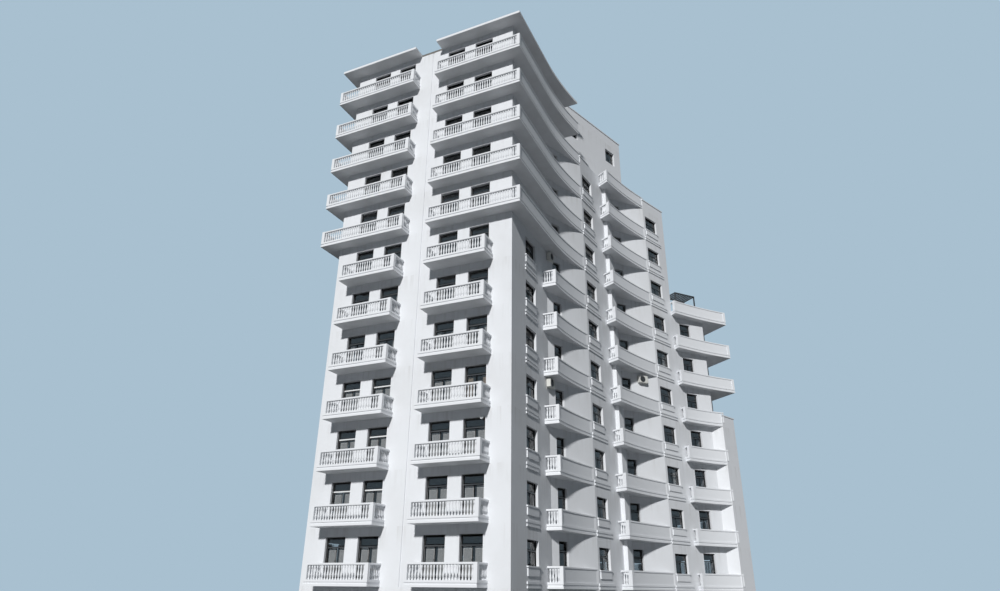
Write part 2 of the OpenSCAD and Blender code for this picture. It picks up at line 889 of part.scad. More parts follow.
// A light frame of square bars over the lower roof terrace
module pergola() {
    b = pergola_bar;
    h = pergola_h - slab_t;
    deep = pergola_deep;
    color(frame_grey) placed()
        translate([second_end[0], second_end[1], far_top + slab_t])
            rotate([0, 0, -second_bay_dir])
                translate([-wall_t - deep, pergola_from, 0]) {
                    for (y = [0, pergola_len / 2 - b / 2, pergola_len - b])
                        for (x = [0, deep - b])
                            translate([x, y, 0])
                                cube([b, b, h]);
                    for (x = [0, deep - b])
                        translate([x, 0, h - b])
                            cube([b, pergola_len, b]);
                    for (i = [0 : 4])
                        translate([0, i * (pergola_len - b) / 4, h - b])
                            cube([deep, b, b]);
                }
}

front_wall();
side_wall();
first_block_wall();
first_bay_wall();
second_block_wall();
second_bay_wall();
end_block_wall();
end_wall();
back_wall_far();
back_wall_middle();
back_wall_near();
left_wall();
setback_wall();
upper_step_wall();
lower_step_wall();
floors();
main_roof();
parapet_copings();
plinth_course();
canopies();
narrow_slabs();
narrow_balustrades();
narrow_posts();
wide_slabs();
wide_balustrades();
wide_side_panels();
wide_posts();
near_bay_slabs();
near_bay_balustrades();
first_bay_slabs();
first_bay_balustrades();
second_bay_slabs();
second_bay_balustrades();
window_aprons();
window_bands();
pergola();
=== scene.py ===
import math
from collections import namedtuple

import bmesh
import bpy
from mathutils import Matrix, Vector


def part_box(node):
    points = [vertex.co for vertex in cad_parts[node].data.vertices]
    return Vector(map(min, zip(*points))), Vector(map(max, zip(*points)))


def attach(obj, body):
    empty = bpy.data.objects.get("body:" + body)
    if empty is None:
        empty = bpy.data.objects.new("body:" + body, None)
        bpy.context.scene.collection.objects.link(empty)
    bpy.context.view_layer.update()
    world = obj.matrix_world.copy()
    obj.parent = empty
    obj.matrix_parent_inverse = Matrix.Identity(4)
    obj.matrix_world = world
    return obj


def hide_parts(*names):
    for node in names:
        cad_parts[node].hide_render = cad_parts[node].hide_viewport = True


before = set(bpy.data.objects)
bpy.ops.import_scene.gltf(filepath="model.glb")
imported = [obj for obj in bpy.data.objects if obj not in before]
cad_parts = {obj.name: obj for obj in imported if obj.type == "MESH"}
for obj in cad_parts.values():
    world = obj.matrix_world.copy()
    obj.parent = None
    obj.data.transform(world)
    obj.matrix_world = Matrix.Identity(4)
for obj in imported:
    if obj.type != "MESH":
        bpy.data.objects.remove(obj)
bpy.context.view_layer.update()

bl_info = {
    "name": "Apartment Block Dressing",
    "version": (1, 0, 0),
    "blender": (4, 5, 0),
    "location": "3D View > Sidebar > Apartment Block",
    "description": "Paints an apartment block, turns its bays' walls and fits its doors and windows",
    "category": "Object",
}

MM = 0.001

# Sizes of the frame, as the part's source gives them; a storey's level is the underside of its slab
GROUND = 400 * MM
RISE = 305 * MM
FRONT_STOREYS = 12
MIDDLE_STOREYS = 10
FAR_STOREYS = 7
END_STOREYS = 4
SLAB = 20 * MM
WALL = 30 * MM
FOOT_HEIGHT = 60 * MM
FOOT_OUT = 8 * MM
RIGHT_BAY_AT = 336 * MM
LEFT_BAY_AT = 976 * MM
DOOR_SPACING = 222 * MM
DOOR_WIDTH = 137 * MM
DOOR_HEAD = 256 * MM
ENTRANCE_AT = 566 * MM
ENTRANCE_WIDTH = 190 * MM
ENTRANCE_HEAD = 270 * MM
WINDOW_WIDTH = 165 * MM
WINDOW_SILL = 109 * MM
WINDOW_HEAD = 240 * MM
WINDOW_IN = 24 * MM
SIDE_WINDOW_AT = 214 * MM
SIDE_DOOR_AT = 696 * MM
SETBACK_WINDOWS_AT = (92 * MM, 624 * MM)
SETBACK_WINDOW_WIDTH = 132 * MM
UNSEEN_PITCH = 310 * MM

# Plan of the frame's walls: a direction is in degrees from +Y towards +X, and a step runs along +X
SIDE_LENGTH = 976 * MM
FIRST_STEP = 152 * MM
FIRST_BLOCK_LENGTH = 348 * MM
FIRST_DIRECTION = 7.7
FIRST_LINE_LENGTH = 493 * MM
SECOND_STEP = 180 * MM
SECOND_BLOCK_LENGTH = 301 * MM
SECOND_BLOCK_DIRECTION = 21.4
SECOND_LINE_LENGTH = 278 * MM
SECOND_LINE_DIRECTION = 15.5
END_STEP = 197 * MM
END_BLOCK_LENGTH = 187 * MM
END_BLOCK_DIRECTION = 22
SETBACK_DIRECTION = 19.5
LEFT_LENGTH = 1403 * MM
BACK_LENGTH = 634 * MM
BACK_DIRECTION = 10
BACK_TURN = 12
# Storeys behind each face of the back, from the left wall to the far end
BACK_STOREYS = (FRONT_STOREYS, MIDDLE_STOREYS, FAR_STOREYS, FAR_STOREYS)

# The bays' own walls stand in front of the frame's and turn outwards, as the photograph shows them
NEAR_BAY_FROM = 503 * MM
NEAR_BAY_TURN = 585 * MM
NEAR_BAY_DOOR_AT = 62 * MM
FIRST_BAY_TURN = 222 * MM
SECOND_BAY_TURN = 99 * MM
SECOND_BAY_DIRECTION = 39.5
SECOND_BAY_LENGTH = 260 * MM
FAR_FACE_DIRECTION = -45
BAY_DOOR_AT = 4 * MM
BAY_DOOR_WIDTH = 84 * MM
SECOND_BAY_DOOR_WIDTH = 112 * MM

# The ground storey comes before storey 0, which is the first with a slab
GROUND_STOREY = -1

Opening = namedtuple("Opening", "wall at width sill head storey")


class Wall:
    """A straight outer wall, seen in plan: its start, and its direction from +Y towards +X."""

    def __init__(self, start, direction):
        self.start = Vector(start)
        self.direction = math.radians(direction)

    def point(self, at):
        along = Vector((math.sin(self.direction), math.cos(self.direction)))
        return self.start + along * at

    def place(self, at, z):
        """Local x runs along the wall to the right, y goes into the building and z is up."""
        spot = self.point(at).to_3d() + Vector((0, 0, z))
        turn = Matrix.Rotation(math.pi / 2 - self.direction, 4, "Z")
        return Matrix.Translation(spot) @ turn


def wall_from_to(start, finish):
    run = finish - start
    return Wall(start, math.degrees(math.atan2(run.x, run.y)))


def length_between(start, finish):
    return (finish - start).length


def level(storey):
    """Height of the underside of a storey's slab, which for the ground storey is the ground."""
    return 0 if storey == GROUND_STOREY else GROUND + storey * RISE


def crossing(wall, start, finish):
    """Where a wall's line meets the line between two points, in plan."""
    run = finish - start
    along = wall.point(1) - wall.start
    distance = (start - wall.start).cross(run) / along.cross(run)
    return wall.point(distance)


# The walls start from the corners of the front wall, as they do in the part's source
front_low, front_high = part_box("front_wall")
FRONT_LEFT = Vector((front_low.x, front_low.y))
FRONT_RIGHT = Vector((front_high.x, front_low.y))
FRONT = Wall(FRONT_LEFT, 90)
SIDE = Wall(FRONT_RIGHT, 0)
SIDE_END = SIDE.point(SIDE_LENGTH)
SETBACK = Wall(SIDE_END, SETBACK_DIRECTION)
FIRST_BLOCK = Wall(SIDE_END + Vector((FIRST_STEP, 0)), FIRST_DIRECTION)
# A line is the frame's own wall at the back of a bay
FIRST_LINE = Wall(FIRST_BLOCK.point(FIRST_BLOCK_LENGTH), FIRST_DIRECTION)
FIRST_LINE_END = FIRST_LINE.point(FIRST_LINE_LENGTH)
SECOND_BLOCK = Wall(FIRST_LINE_END + Vector((SECOND_STEP, 0)), SECOND_BLOCK_DIRECTION)
SECOND_LINE = Wall(SECOND_BLOCK.point(SECOND_BLOCK_LENGTH), SECOND_LINE_DIRECTION)
SECOND_LINE_END = SECOND_LINE.point(SECOND_LINE_LENGTH)
END_BLOCK = Wall(SECOND_LINE_END + Vector((END_STEP, 0)), END_BLOCK_DIRECTION)
NEAR_BAY = wall_from_to(SIDE.point(NEAR_BAY_TURN), FIRST_BLOCK.start)
FIRST_BAY = wall_from_to(FIRST_LINE.point(FIRST_BAY_TURN), SECOND_BLOCK.start)
SECOND_WEDGE = Wall(SECOND_LINE.start, SECOND_BLOCK_DIRECTION)
SECOND_BAY = Wall(SECOND_WEDGE.point(SECOND_BAY_TURN), SECOND_BAY_DIRECTION)
# Corners of the back, from the end of the left wall to the far end
BACK_CORNERS = [FRONT_LEFT + Vector((0, LEFT_LENGTH))]
for face in range(len(BACK_STOREYS)):
    BACK_CORNERS.append(Wall(BACK_CORNERS[-1], BACK_DIRECTION + face * BACK_TURN).point(BACK_LENGTH))
BAY_END = crossing(SECOND_LINE, END_BLOCK.point(END_BLOCK_LENGTH), BACK_CORNERS[-1])
RETURN_END = crossing(SECOND_BAY, SECOND_LINE_END, END_BLOCK.start)
FAR_FACE = Wall(SECOND_BAY.point(SECOND_BAY_LENGTH), FAR_FACE_DIRECTION)
FAR_FACE_END = crossing(FAR_FACE, SECOND_LINE.start, BAY_END)


def bay_doors(bay_from_right):
    """Distances along the front of the two doors of a bay."""
    middle = length_between(FRONT_LEFT, FRONT_RIGHT) - bay_from_right
    return [middle + side * DOOR_SPACING / 2 - DOOR_WIDTH / 2 for side in (-1, 1)]


def window_row(wall, at, storeys, width=WINDOW_WIDTH):
    return [Opening(wall, at, width, WINDOW_SILL, WINDOW_HEAD, k) for k in storeys]


def door_row(wall, at, storeys, width=DOOR_WIDTH):
    return [Opening(wall, at, width, SLAB, DOOR_HEAD, k) for k in storeys]


def unseen_openings(start, finish, storeys):
    """The evenly spaced windows of a wall that the photograph doesn't show, storey by storey."""
    length = length_between(start, finish)
    count = int(length / UNSEEN_PITCH)
    first = (length - (count - 1) * UNSEEN_PITCH - WINDOW_WIDTH) / 2
    wall = wall_from_to(start, finish)
    spots = [first + i * UNSEEN_PITCH for i in range(count)]
    return [o for k in range(storeys) for at in spots for o in window_row(wall, at, [k])]


LEFT_DOORS = [o for at in bay_doors(LEFT_BAY_AT) for o in door_row(FRONT, at, range(FRONT_STOREYS))]
RIGHT_DOORS = [o for at in bay_doors(RIGHT_BAY_AT) for o in door_row(FRONT, at, range(FRONT_STOREYS))]
ENTRANCE = Opening(FRONT, ENTRANCE_AT, ENTRANCE_WIDTH, SLAB, ENTRANCE_HEAD, GROUND_STOREY)
SIDE_DOORS = (
    door_row(NEAR_BAY, NEAR_BAY_DOOR_AT, range(MIDDLE_STOREYS), BAY_DOOR_WIDTH)
    + door_row(SIDE, SIDE_DOOR_AT, range(MIDDLE_STOREYS, FRONT_STOREYS), WINDOW_WIDTH)
    + door_row(FIRST_BAY, BAY_DOOR_AT, range(MIDDLE_STOREYS), BAY_DOOR_WIDTH)
    + door_row(SECOND_BAY, BAY_DOOR_AT, range(FAR_STOREYS), SECOND_BAY_DOOR_WIDTH)
)
SIDE_WINDOWS = (
    window_row(SIDE, SIDE_WINDOW_AT, range(FRONT_STOREYS))
    + window_row(FIRST_BLOCK, WINDOW_IN, range(MIDDLE_STOREYS))
    + window_row(SECOND_BLOCK, WINDOW_IN, range(MIDDLE_STOREYS))
)
SETBACK_WINDOWS = [
    o
    for at in SETBACK_WINDOWS_AT
    for o in window_row(SETBACK, at, range(MIDDLE_STOREYS, FRONT_STOREYS), SETBACK_WINDOW_WIDTH)
]
UNSEEN_WINDOWS = unseen_openings(BACK_CORNERS[0], FRONT_LEFT, FRONT_STOREYS)
for face, storeys in enumerate(BACK_STOREYS):
    UNSEEN_WINDOWS += unseen_openings(BACK_CORNERS[face + 1], BACK_CORNERS[face], storeys)
UNSEEN_WINDOWS += unseen_openings(BAY_END, BACK_CORNERS[-1], FAR_STOREYS)

# Storeys where the doors of the left bay have white plastic frames
WHITE_DOOR_STOREYS = (1, 2, 3)
# Storey of the beige curtain, above which the curtains are drawn less far
BEIGE_STOREY = 3

# Details of a door or window unit
SASH_IN = 1.2 * MM
LOW_RAIL_SHARE = 0.6
PANE_IN_SASH = 0.7
HANDLE_WIDTH = 1.6 * MM
HANDLE_HEIGHT = 9 * MM
HANDLE_OUT = 2 * MM
HANDLE_IN = 1.5 * MM
HANDLE_AT = 0.45
STEPS_IN_A_FOLD = 4
LEAST_STEPS = 8

# Outdoor units, as (wall, distance along it, underside), and the details of each
OUTDOOR_UNITS = (
    (SIDE, 579 * MM, 2470 * MM),
    (SIDE, 532 * MM, 1558 * MM),
    (FIRST_BAY, 146 * MM, 1850 * MM),
)
UNIT_ROUNDING = 1.5 * MM
BRACKETS_AT = (0.18, 0.82)
BRACKET = 3 * MM
BRACKET_DROP = 16 * MM
FAN_AT = 0.36
FAN_SHARE = 0.41
GUARD_HOOPS = (1.0, 0.8, 0.6, 0.4, 0.2)
GUARD_WIRE = 0.7 * MM
GUARD_OUT = 1.2 * MM
FAN_PLATE = 0.8 * MM

# The wall lamp, as distance along the front and height, and its size
LAMP_AT = 1127 * MM
LAMP_HEIGHT = 1263 * MM
LAMP_RADIUS = 11 * MM
LAMP_DEPTH = 6 * MM
LAMP_RIM = 1 * MM

# Flat piers beside the doors of the first bay, as distances along the line of the first block
PIER_FROM = 406 * MM
PIER_TO = 488 * MM
PIER_DEPTH = 30 * MM

# The pergola on the lower terrace stands in line with the turned wall below it
PERGOLA_BAR = 9 * MM
PERGOLA_FROM = 12 * MM
PERGOLA_LENGTH = 215 * MM
PERGOLA_IN = 21 * MM
PERGOLA_DEPTH = 141 * MM
PERGOLA_HEIGHT = 236 * MM
PERGOLA_SLATS = 9
PERGOLA_ROUNDING = 0.8 * MM

# Second tones of the finishes that are mottled or faded
CONCRETE_SHADE = "#7F7C77"
FELT_SHADE = "#5F5D5A"
STONE_SHADE = "#6E6A63"
FADED_COAT = "#8C8C88"
THREAD_GAPS = "#8A8883"

# The studio: the tone of the light from all round, the sensor in millimetres and the floor in metres
FILL_TONE = "#CBDCEC"
SENSOR_WIDTH = 36
FLOOR_HALF_WIDTH = 30

# Points nearer than this count as one, in metres
SAME_PLACE = 1e-6


def colour(name, text, default):
    return bpy.props.StringProperty(name=name, description=text, default=default)


def size(name, text, default):
    return bpy.props.FloatProperty(name=name, description=text, default=default, unit="LENGTH")


def angle(name, text, degrees):
    default = math.radians(degrees)
    return bpy.props.FloatProperty(name=name, description=text, default=default, subtype="ANGLE")


class BlockFinishes(bpy.types.PropertyGroup):
    white_paint: colour("White paint", "Masonry paint on the walls that the street sees", "#E7E9EC")
    cast_paint: colour("Cast white", "Paint on balconies, balusters and mouldings", "#EAECEF")
    back_paint: colour("Grey render", "Render on the walls at the back", "#CFCBC5")
    # On the walls this tone is rain grime; on the cast concrete it is also painted shade on the
    # undersides
    rain_grime_and_soffit_shade: colour("Rain grime", "Dust that rain carries down a painted wall", "#A9A69F")
    bare_concrete: colour("Concrete", "Floors inside the block", "#9B9892")
    roof_felt: colour("Roof felt", "Mineral felt on the roof", "#84817C")
    plinth_stone: colour("Plinth stone", "Stone course at the foot of the walls", "#8F8A82")
    dark_frames: colour("Dark frames", "Powder coat on most doors and windows", "#2B2E32")
    white_frames: colour("White frames", "Plastic of the white doors and windows", "#E4E5E5")
    # This near-black tone is painted shade of the dark room, laid on the panes
    glass_and_room_shade: colour("Glass", "Float glass over a dark room", "#141B1F")
    curtain_cloth: colour("Curtains", "Voile behind most doors", "#E6E6E4")
    beige_cloth: colour("Beige curtain", "Cotton behind one of the doors", "#C9B6A0")
    fan_casing: colour("Air conditioner", "Enamelled steel of the outdoor units", "#DAD9D3")
    floor_seen: colour("Floor", "Plain pale floor of the studio", "#D9DBDC")
    floor_bounce: colour("Floor bounce", "Tone of the light that the floor throws up", "#6A6C6E")
    sky_colour: colour("Backdrop", "Plain backdrop of the studio", "#A9C0D0")


class BlockJoinery(bpy.types.PropertyGroup):
    frame_face: size("Frame face", "Width of a frame seen from outside", 7.5 * MM)
    frame_depth: size("Frame depth", "Depth of a frame into the wall", 9 * MM)
    sash_face: size("Sash face", "Width of the stiles and rails of a sash", 6.5 * MM)
    sash_depth: size("Sash depth", "Depth of a sash", 6 * MM)
    set_in: size("Set-in", "Distance from the face of the wall to a frame", 16 * MM)
    transom_drop: size("Transom drop", "Distance from a head to the transom below it", 58 * MM)
    single_below: size("Single leaf", "Width below which a unit has a single leaf", 100 * MM)
    pane: size("Pane", "Thickness of a double glazed pane", 2.4 * MM)
    curtain_in: size("Curtain", "Distance from the face of the wall to the curtains", 37 * MM)
    fold_pitch: size("Fold pitch", "Distance between the folds of a curtain", 9 * MM)
    fold_depth: size("Fold depth", "Depth of the folds of a curtain", 2.4 * MM)
    unit_width: size("Unit width", "Width of an outdoor unit", 78 * MM)
    unit_depth: size("Unit depth", "Depth of an outdoor unit", 28 * MM)
    unit_height: size("Unit height", "Height of an outdoor unit", 55 * MM)
    unit_gap: size("Unit gap", "Distance between an outdoor unit and the wall", 4 * MM)


class BlockStudio(bpy.types.PropertyGroup):
    lens: bpy.props.FloatProperty(
        name="Lens", description="Focal length on a 36 mm wide sensor", default=24.02, unit="CAMERA"
    )
    place: bpy.props.FloatVectorProperty(
        name="Camera", description="Place of the camera", default=(1.6713, -4.9948, 0.3887), subtype="XYZ"
    )
    look_up: angle("Look up", "Tilt of the camera", 23.85)
    look_left: angle("Look left", "Turn of the camera from +Y", 25)
    roll: angle("Roll", "Roll of the camera", 0.6589)
    lamp_height: angle("Lamp height", "Angle of the key lamp above the floor", 26)
    lamp_turn: angle("Lamp turn", "Turn of the key lamp from the front towards the curved side", 10)
    lamp_spread: angle("Lamp spread", "How soft the key lamp's shadows are", 4)
    lamp_power: bpy.props.FloatProperty(
        name="Lamp power", description="Strength of the key lamp", default=3.1
    )
    fill_power: bpy.props.FloatProperty(
        name="Fill", description="Strength of the light from all round", default=0.12
    )


def linear(hex_colour):
    """Turns an sRGB hex colour into Blender's linear colour."""
    channels = [int(hex_colour[i : i + 2], 16) / 255 for i in (1, 3, 5)]
    values = [c / 12.92 if c <= 0.04045 else ((c + 0.055) / 1.055) ** 2.4 for c in channels]
    return (*values, 1.0)


# Sockets of the Mix node when it mixes colours
MIX_AMOUNT = 0
MIX_UNDER = 6
MIX_OVER = 7
MIX_RESULT = 2
# Length over which the Wave texture repeats at a scale of 1, in metres
WAVE_RUN = 2 * math.pi / 20


def cells(spacing_mm):
    """Scale of a pattern whose features lie this many millimetres apart."""
    return 1 / (spacing_mm * MM)


def add_node(tree, kind, settings=None, links=None):
    """Adds a shader node with its settings, and links in sockets or the first outputs of nodes."""
    node = tree.nodes.new("ShaderNode" + kind)
    for key, value in (settings or {}).items():
        if isinstance(key, int) or key in node.inputs:
            node.inputs[key].default_value = value
        else:
            setattr(node, key, value)
    for key, source in (links or {}).items():
        socket = source.outputs[0] if isinstance(source, bpy.types.Node) else source
        tree.links.new(socket, node.inputs[key])
    return node


def start_material(name):
    """Makes an empty material and returns it with its node tree."""
    material = bpy.data.materials.new(name)
    material.use_nodes = True
    material.node_tree.nodes.clear()
    return material, material.node_tree


def finish_material(material, settings, links):
    """Ends a material's nodes in one Principled shader and returns the material."""
    shader = add_node(material.node_tree, "BsdfPrincipled", settings, links)
    add_node(material.node_tree, "OutputMaterial", links={"Surface": shader})
    return material


def painted_masonry(name, paint, grime, streaks, grain_mm, relief_mm):
    """Matt masonry paint: an even coat with slow changes of tone, rain marks and a floated grain."""
    material, tree = start_material(name)
    spot = add_node(tree, "TexCoord").outputs["Object"]
    # Patches of tone are about four metres across on the real block
    patches = add_node(
        tree, "TexNoise", {"Scale": cells(435), "Detail": 5.0, "Roughness": 0.6}, {"Vector": spot}
    )
    patchy = add_node(
        tree, "MapRange", {"From Min": 0.45, "From Max": 0.75, "To Max": 0.16}, {"Value": patches}
    )
    worn = add_node(
        tree, "Mix", {"data_type": "RGBA", MIX_UNDER: linear(paint), MIX_OVER: linear(grime)},
        {MIX_AMOUNT: patchy},
    )
    # Rain marks, about 30 cm apart on the real block, hang under each ledge for half a storey
    height = add_node(tree, "SeparateXYZ", links={"Vector": spot})
    from_level = add_node(tree, "Math", {"operation": "SUBTRACT", 1: GROUND}, {0: height.outputs["Z"]})
    storeys = add_node(tree, "Math", {"operation": "DIVIDE", 1: RISE}, {0: from_level})
    in_storey = add_node(tree, "Math", {"operation": "FRACT"}, {0: storeys})
    under_ledge = add_node(
        tree, "MapRange", {"From Min": 0.5, "interpolation_type": "SMOOTHSTEP"}, {"Value": in_storey}
    )
    drawn_out = add_node(tree, "Mapping", {"Scale": (1, 1, 0.06)}, {"Vector": spot})
    runs = add_node(tree, "TexNoise", {"Scale": cells(29.4), "Detail": 3.0}, {"Vector": drawn_out})
    run_marks = add_node(
        tree, "MapRange", {"From Min": 0.5, "From Max": 0.72, "To Max": streaks}, {"Value": runs}
    )
    marks = add_node(tree, "Math", {"operation": "MULTIPLY"}, {0: run_marks, 1: under_ledge})
    streaked = add_node(
        tree, "Mix", {"data_type": "RGBA", MIX_OVER: linear(grime)},
        {MIX_AMOUNT: marks, MIX_UNDER: worn.outputs[MIX_RESULT]},
    )
    dull = add_node(tree, "MapRange", {"To Min": 0.72, "To Max": 0.92}, {"Value": patches})
    # The real grain is under half a millimetre at this scale, so it is drawn coarser to show
    grain = add_node(tree, "TexNoise", {"Scale": cells(grain_mm), "Detail": 3.0}, {"Vector": spot})
    bump = add_node(tree, "Bump", {"Strength": 0.35, "Distance": relief_mm * MM}, {"Height": grain})
    return finish_material(
        material,
        {"IOR": 1.45, "Specular IOR Level": 0.25},
        {"Base Color": streaked.outputs[MIX_RESULT], "Roughness": dull, "Normal": bump},
    )


def street_paint(name, finishes):
    """The white masonry paint of the walls that the street sees."""
    return painted_masonry(
        name, finishes.white_paint, finishes.rain_grime_and_soffit_shade, streaks=0.22, grain_mm=6, relief_mm=0.6
    )


def cast_concrete(name, paint, grime):
    """Painted cast concrete: smooth from the mould, with pinholes, dust on the top faces and painted
    shade on the undersides.
    """
    material, tree = start_material(name)
    spot = add_node(tree, "TexCoord").outputs["Object"]
    # Clouds of tone are about 70 cm across on the real block
    cloudy = add_node(tree, "TexNoise", {"Scale": cells(71.4), "Detail": 4.0}, {"Vector": spot})
    # Faces that look up or down take the grime tone alike: real dust on the tops, painted shade on the
    # undersides of slabs and mouldings
    facing = add_node(tree, "NewGeometry").outputs["Normal"]
    facing_z = add_node(tree, "SeparateXYZ", links={"Vector": facing})
    flat = add_node(tree, "Math", {"operation": "ABSOLUTE"}, {0: facing_z.outputs["Z"]})
    dust_and_soffit_shade_by_facing = add_node(
        tree, "MapRange", {"From Min": 0.6, "To Min": 0.03, "To Max": 0.22}, {"Value": flat}
    )
    clouds = add_node(
        tree, "MapRange", {"From Min": 0.3, "From Max": 0.7, "To Min": 0.4}, {"Value": cloudy}
    )
    top_dust_and_soffit_shade = add_node(tree, "Math", {"operation": "MULTIPLY"}, {0: dust_and_soffit_shade_by_facing, 1: clouds})
    painted = add_node(
        tree, "Mix", {"data_type": "RGBA", MIX_UNDER: linear(paint), MIX_OVER: linear(grime)},
        {MIX_AMOUNT: top_dust_and_soffit_shade},
    )
    dull = add_node(tree, "MapRange", {"To Min": 0.6, "To Max": 0.85}, {"Value": cloudy})
    # Pinholes are too fine to show at this scale, so they are drawn about four millimetres apart
    pits = add_node(tree, "TexNoise", {"Scale": cells(4.17), "Detail": 2.0}, {"Vector": spot})
    bump = add_node(tree, "Bump", {"Strength": 0.2, "Distance": 0.4 * MM}, {"Height": pits})
    return finish_material(
        material,
        {"IOR": 1.45, "Specular IOR Level": 0.3},
        {"Base Color": painted.outputs[MIX_RESULT], "Roughness": dull, "Normal": bump},
    )


def mottled(name, under, over, grain_mm, relief_mm, roughness):
    """A mineral surface of two tones, for concrete, felt and stone."""
    material, tree = start_material(name)
    spot = add_node(tree, "TexCoord").outputs["Object"]
    # The real grit is too fine to show at this scale, so it is drawn coarser
    grain = add_node(
        tree, "TexNoise", {"Scale": cells(grain_mm), "Detail": 6.0, "Roughness": 0.65}, {"Vector": spot}
    )
    spread = add_node(tree, "MapRange", {"From Min": 0.3, "From Max": 0.7}, {"Value": grain})
    tones = add_node(
        tree, "Mix", {"data_type": "RGBA", MIX_UNDER: linear(under), MIX_OVER: linear(over)},
        {MIX_AMOUNT: spread},
    )
    bump = add_node(tree, "Bump", {"Strength": 0.5, "Distance": relief_mm * MM}, {"Height": grain})
    return finish_material(
        material,
        {"IOR": 1.5, "Roughness": roughness},
        {"Base Color": tones.outputs[MIX_RESULT], "Normal": bump},
    )


def limestone(name, finishes):
    """Sawn limestone of the course at the foot of the walls."""
    return mottled(name, finishes.plinth_stone, STONE_SHADE, grain_mm=45.5, relief_mm=0.5, roughness=0.7)


def powder_coat(name, tone, roughness):
    """Powder coat, enamel or moulded plastic: an even colour with a faint orange peel."""
    material, tree = start_material(name)
    spot = add_node(tree, "TexCoord").outputs["Object"]
    # The coat fades unevenly, over about a metre of the real block
    weather = add_node(tree, "TexNoise", {"Scale": cells(111), "Detail": 4.0}, {"Vector": spot})
    faded = add_node(
        tree, "MapRange", {"From Min": 0.3, "From Max": 0.7, "To Max": 0.12}, {"Value": weather}
    )
    tones = add_node(
        tree, "Mix", {"data_type": "RGBA", MIX_UNDER: linear(tone), MIX_OVER: linear(FADED_COAT)},
        {MIX_AMOUNT: faded},
    )
    sheen = add_node(
        tree, "MapRange", {"To Min": roughness - 0.08, "To Max": roughness + 0.08}, {"Value": weather}
    )
    # Orange peel is far too fine to show at this scale, so its bumps are drawn about 6 mm apart
    peel = add_node(tree, "TexNoise", {"Scale": cells(6.25), "Detail": 2.0}, {"Vector": spot})
    bump = add_node(tree, "Bump", {"Strength": 0.15, "Distance": 0.2 * MM}, {"Height": peel})
    return finish_material(
        material,
        {"IOR": 1.5},
        {"Base Color": tones.outputs[MIX_RESULT], "Roughness": sheen, "Normal": bump},
    )


def float_glass(name, room_shade_tint):
    """Double glazing with the dark room behind painted into it as painted shade: clear enough to show a
    curtain, with a sharp reflection.
    """
    material, tree = start_material(name)
    spot = add_node(tree, "TexCoord").outputs["Object"]
    # The slight waves of the panes are about a window's width across
    sway = add_node(tree, "TexNoise", {"Scale": cells(167), "Detail": 1.0}, {"Vector": spot})
    bump = add_node(tree, "Bump", {"Strength": 0.12, "Distance": 1 * MM}, {"Height": sway})
    # The four faces of a double pane mirror as much together as one face does at this raised IOR
    return finish_material(
        material,
        # The near-black base colour is painted shade of the unlit room behind the pane, not a tint of the
        # glass
        {"IOR": 2.3, "Roughness": 0.04, "Alpha": 0.32, "Base Color": linear(room_shade_tint)},
        {"Normal": bump},
    )


def woven_cloth(name, tone):
    """Light curtain cloth: a fine plain weave with a soft sheen."""
    material, tree = start_material(name)
    spot = add_node(tree, "TexCoord").outputs["Object"]
    # Threads of half a millimetre would not show, so they are drawn nearly six millimetres apart
    threads = add_node(
        tree, "TexWave", {"bands_direction": "Z", "Scale": WAVE_RUN * cells(5.65), "Distortion": 0.4},
        {"Vector": spot},
    )
    weave = threads.outputs["Fac"]
    shade = add_node(tree, "MapRange", {"To Max": 0.08}, {"Value": weave})
    tones = add_node(
        tree, "Mix", {"data_type": "RGBA", MIX_UNDER: linear(tone), MIX_OVER: linear(THREAD_GAPS)},
        {MIX_AMOUNT: shade},
    )
    bump = add_node(tree, "Bump", {"Strength": 0.2, "Distance": 0.3 * MM}, {"Height": weave})
    return finish_material(
        material,
        {"Roughness": 0.9, "Sheen Weight": 0.2},
        {"Base Color": tones.outputs[MIX_RESULT], "Normal": bump},
    )


def paint_nodes(names, material):
    for name in names:
        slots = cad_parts[name].data.materials
        slots.clear()
        slots.append(material)


def add_block(bm, low, high):
    """Adds a square-edged block between two corners."""
    low, high = Vector(low), Vector(high)
    middle = Matrix.Translation((low + high) / 2)
    stretch = Matrix.Diagonal((*(high - low), 1))
    bmesh.ops.create_cube(bm, size=1, matrix=middle @ stretch)


def add_ring(bm, low, high, face, depth):
    """Adds a flat rectangular frame: its face is at the y given, and its depth goes on inwards."""
    corners = [(low[0], low[2]), (high[0], low[2]), (high[0], high[2]), (low[0], high[2])]
    pane = bm.faces.new([bm.verts.new((x, low[1], z)) for x, z in corners])
    ring = bmesh.ops.inset_individual(bm, faces=[pane], thickness=face, use_even_offset=True)["faces"]
    bmesh.ops.delete(bm, geom=[pane], context="FACES_ONLY")
    back = bmesh.ops.extrude_face_region(bm, geom=ring)["geom"]
    moved = [v for v in back if isinstance(v, bmesh.types.BMVert)]
    bmesh.ops.translate(bm, vec=(0, depth, 0), verts=moved)


def add_disc(bm, middle, radius, thick):
    """Adds a flat disc that faces out from a wall."""
    turn = Matrix.Translation(middle) @ Matrix.Rotation(math.pi / 2, 4, "X")
    bmesh.ops.create_cone(
        bm, cap_ends=True, segments=40, radius1=radius, radius2=radius, depth=thick, matrix=turn
    )


def add_hoop(bm, middle, radius, wire):
    """Adds a hoop of square wire, turned round an axis that stands out from a wall."""
    start = middle + Vector((radius, 0, 0))
    corners = [(-wire, -wire), (wire, -wire), (wire, wire), (-wire, wire)]
    section = [bm.verts.new(start + Vector((x, y, 0))) for x, y in corners]
    edges = [bm.edges.new((section[i], section[i - 1])) for i in range(4)]
    bmesh.ops.spin(
        bm, geom=section + edges, cent=middle, axis=(0, 1, 0), angle=2 * math.pi, steps=36, use_merge=True
    )


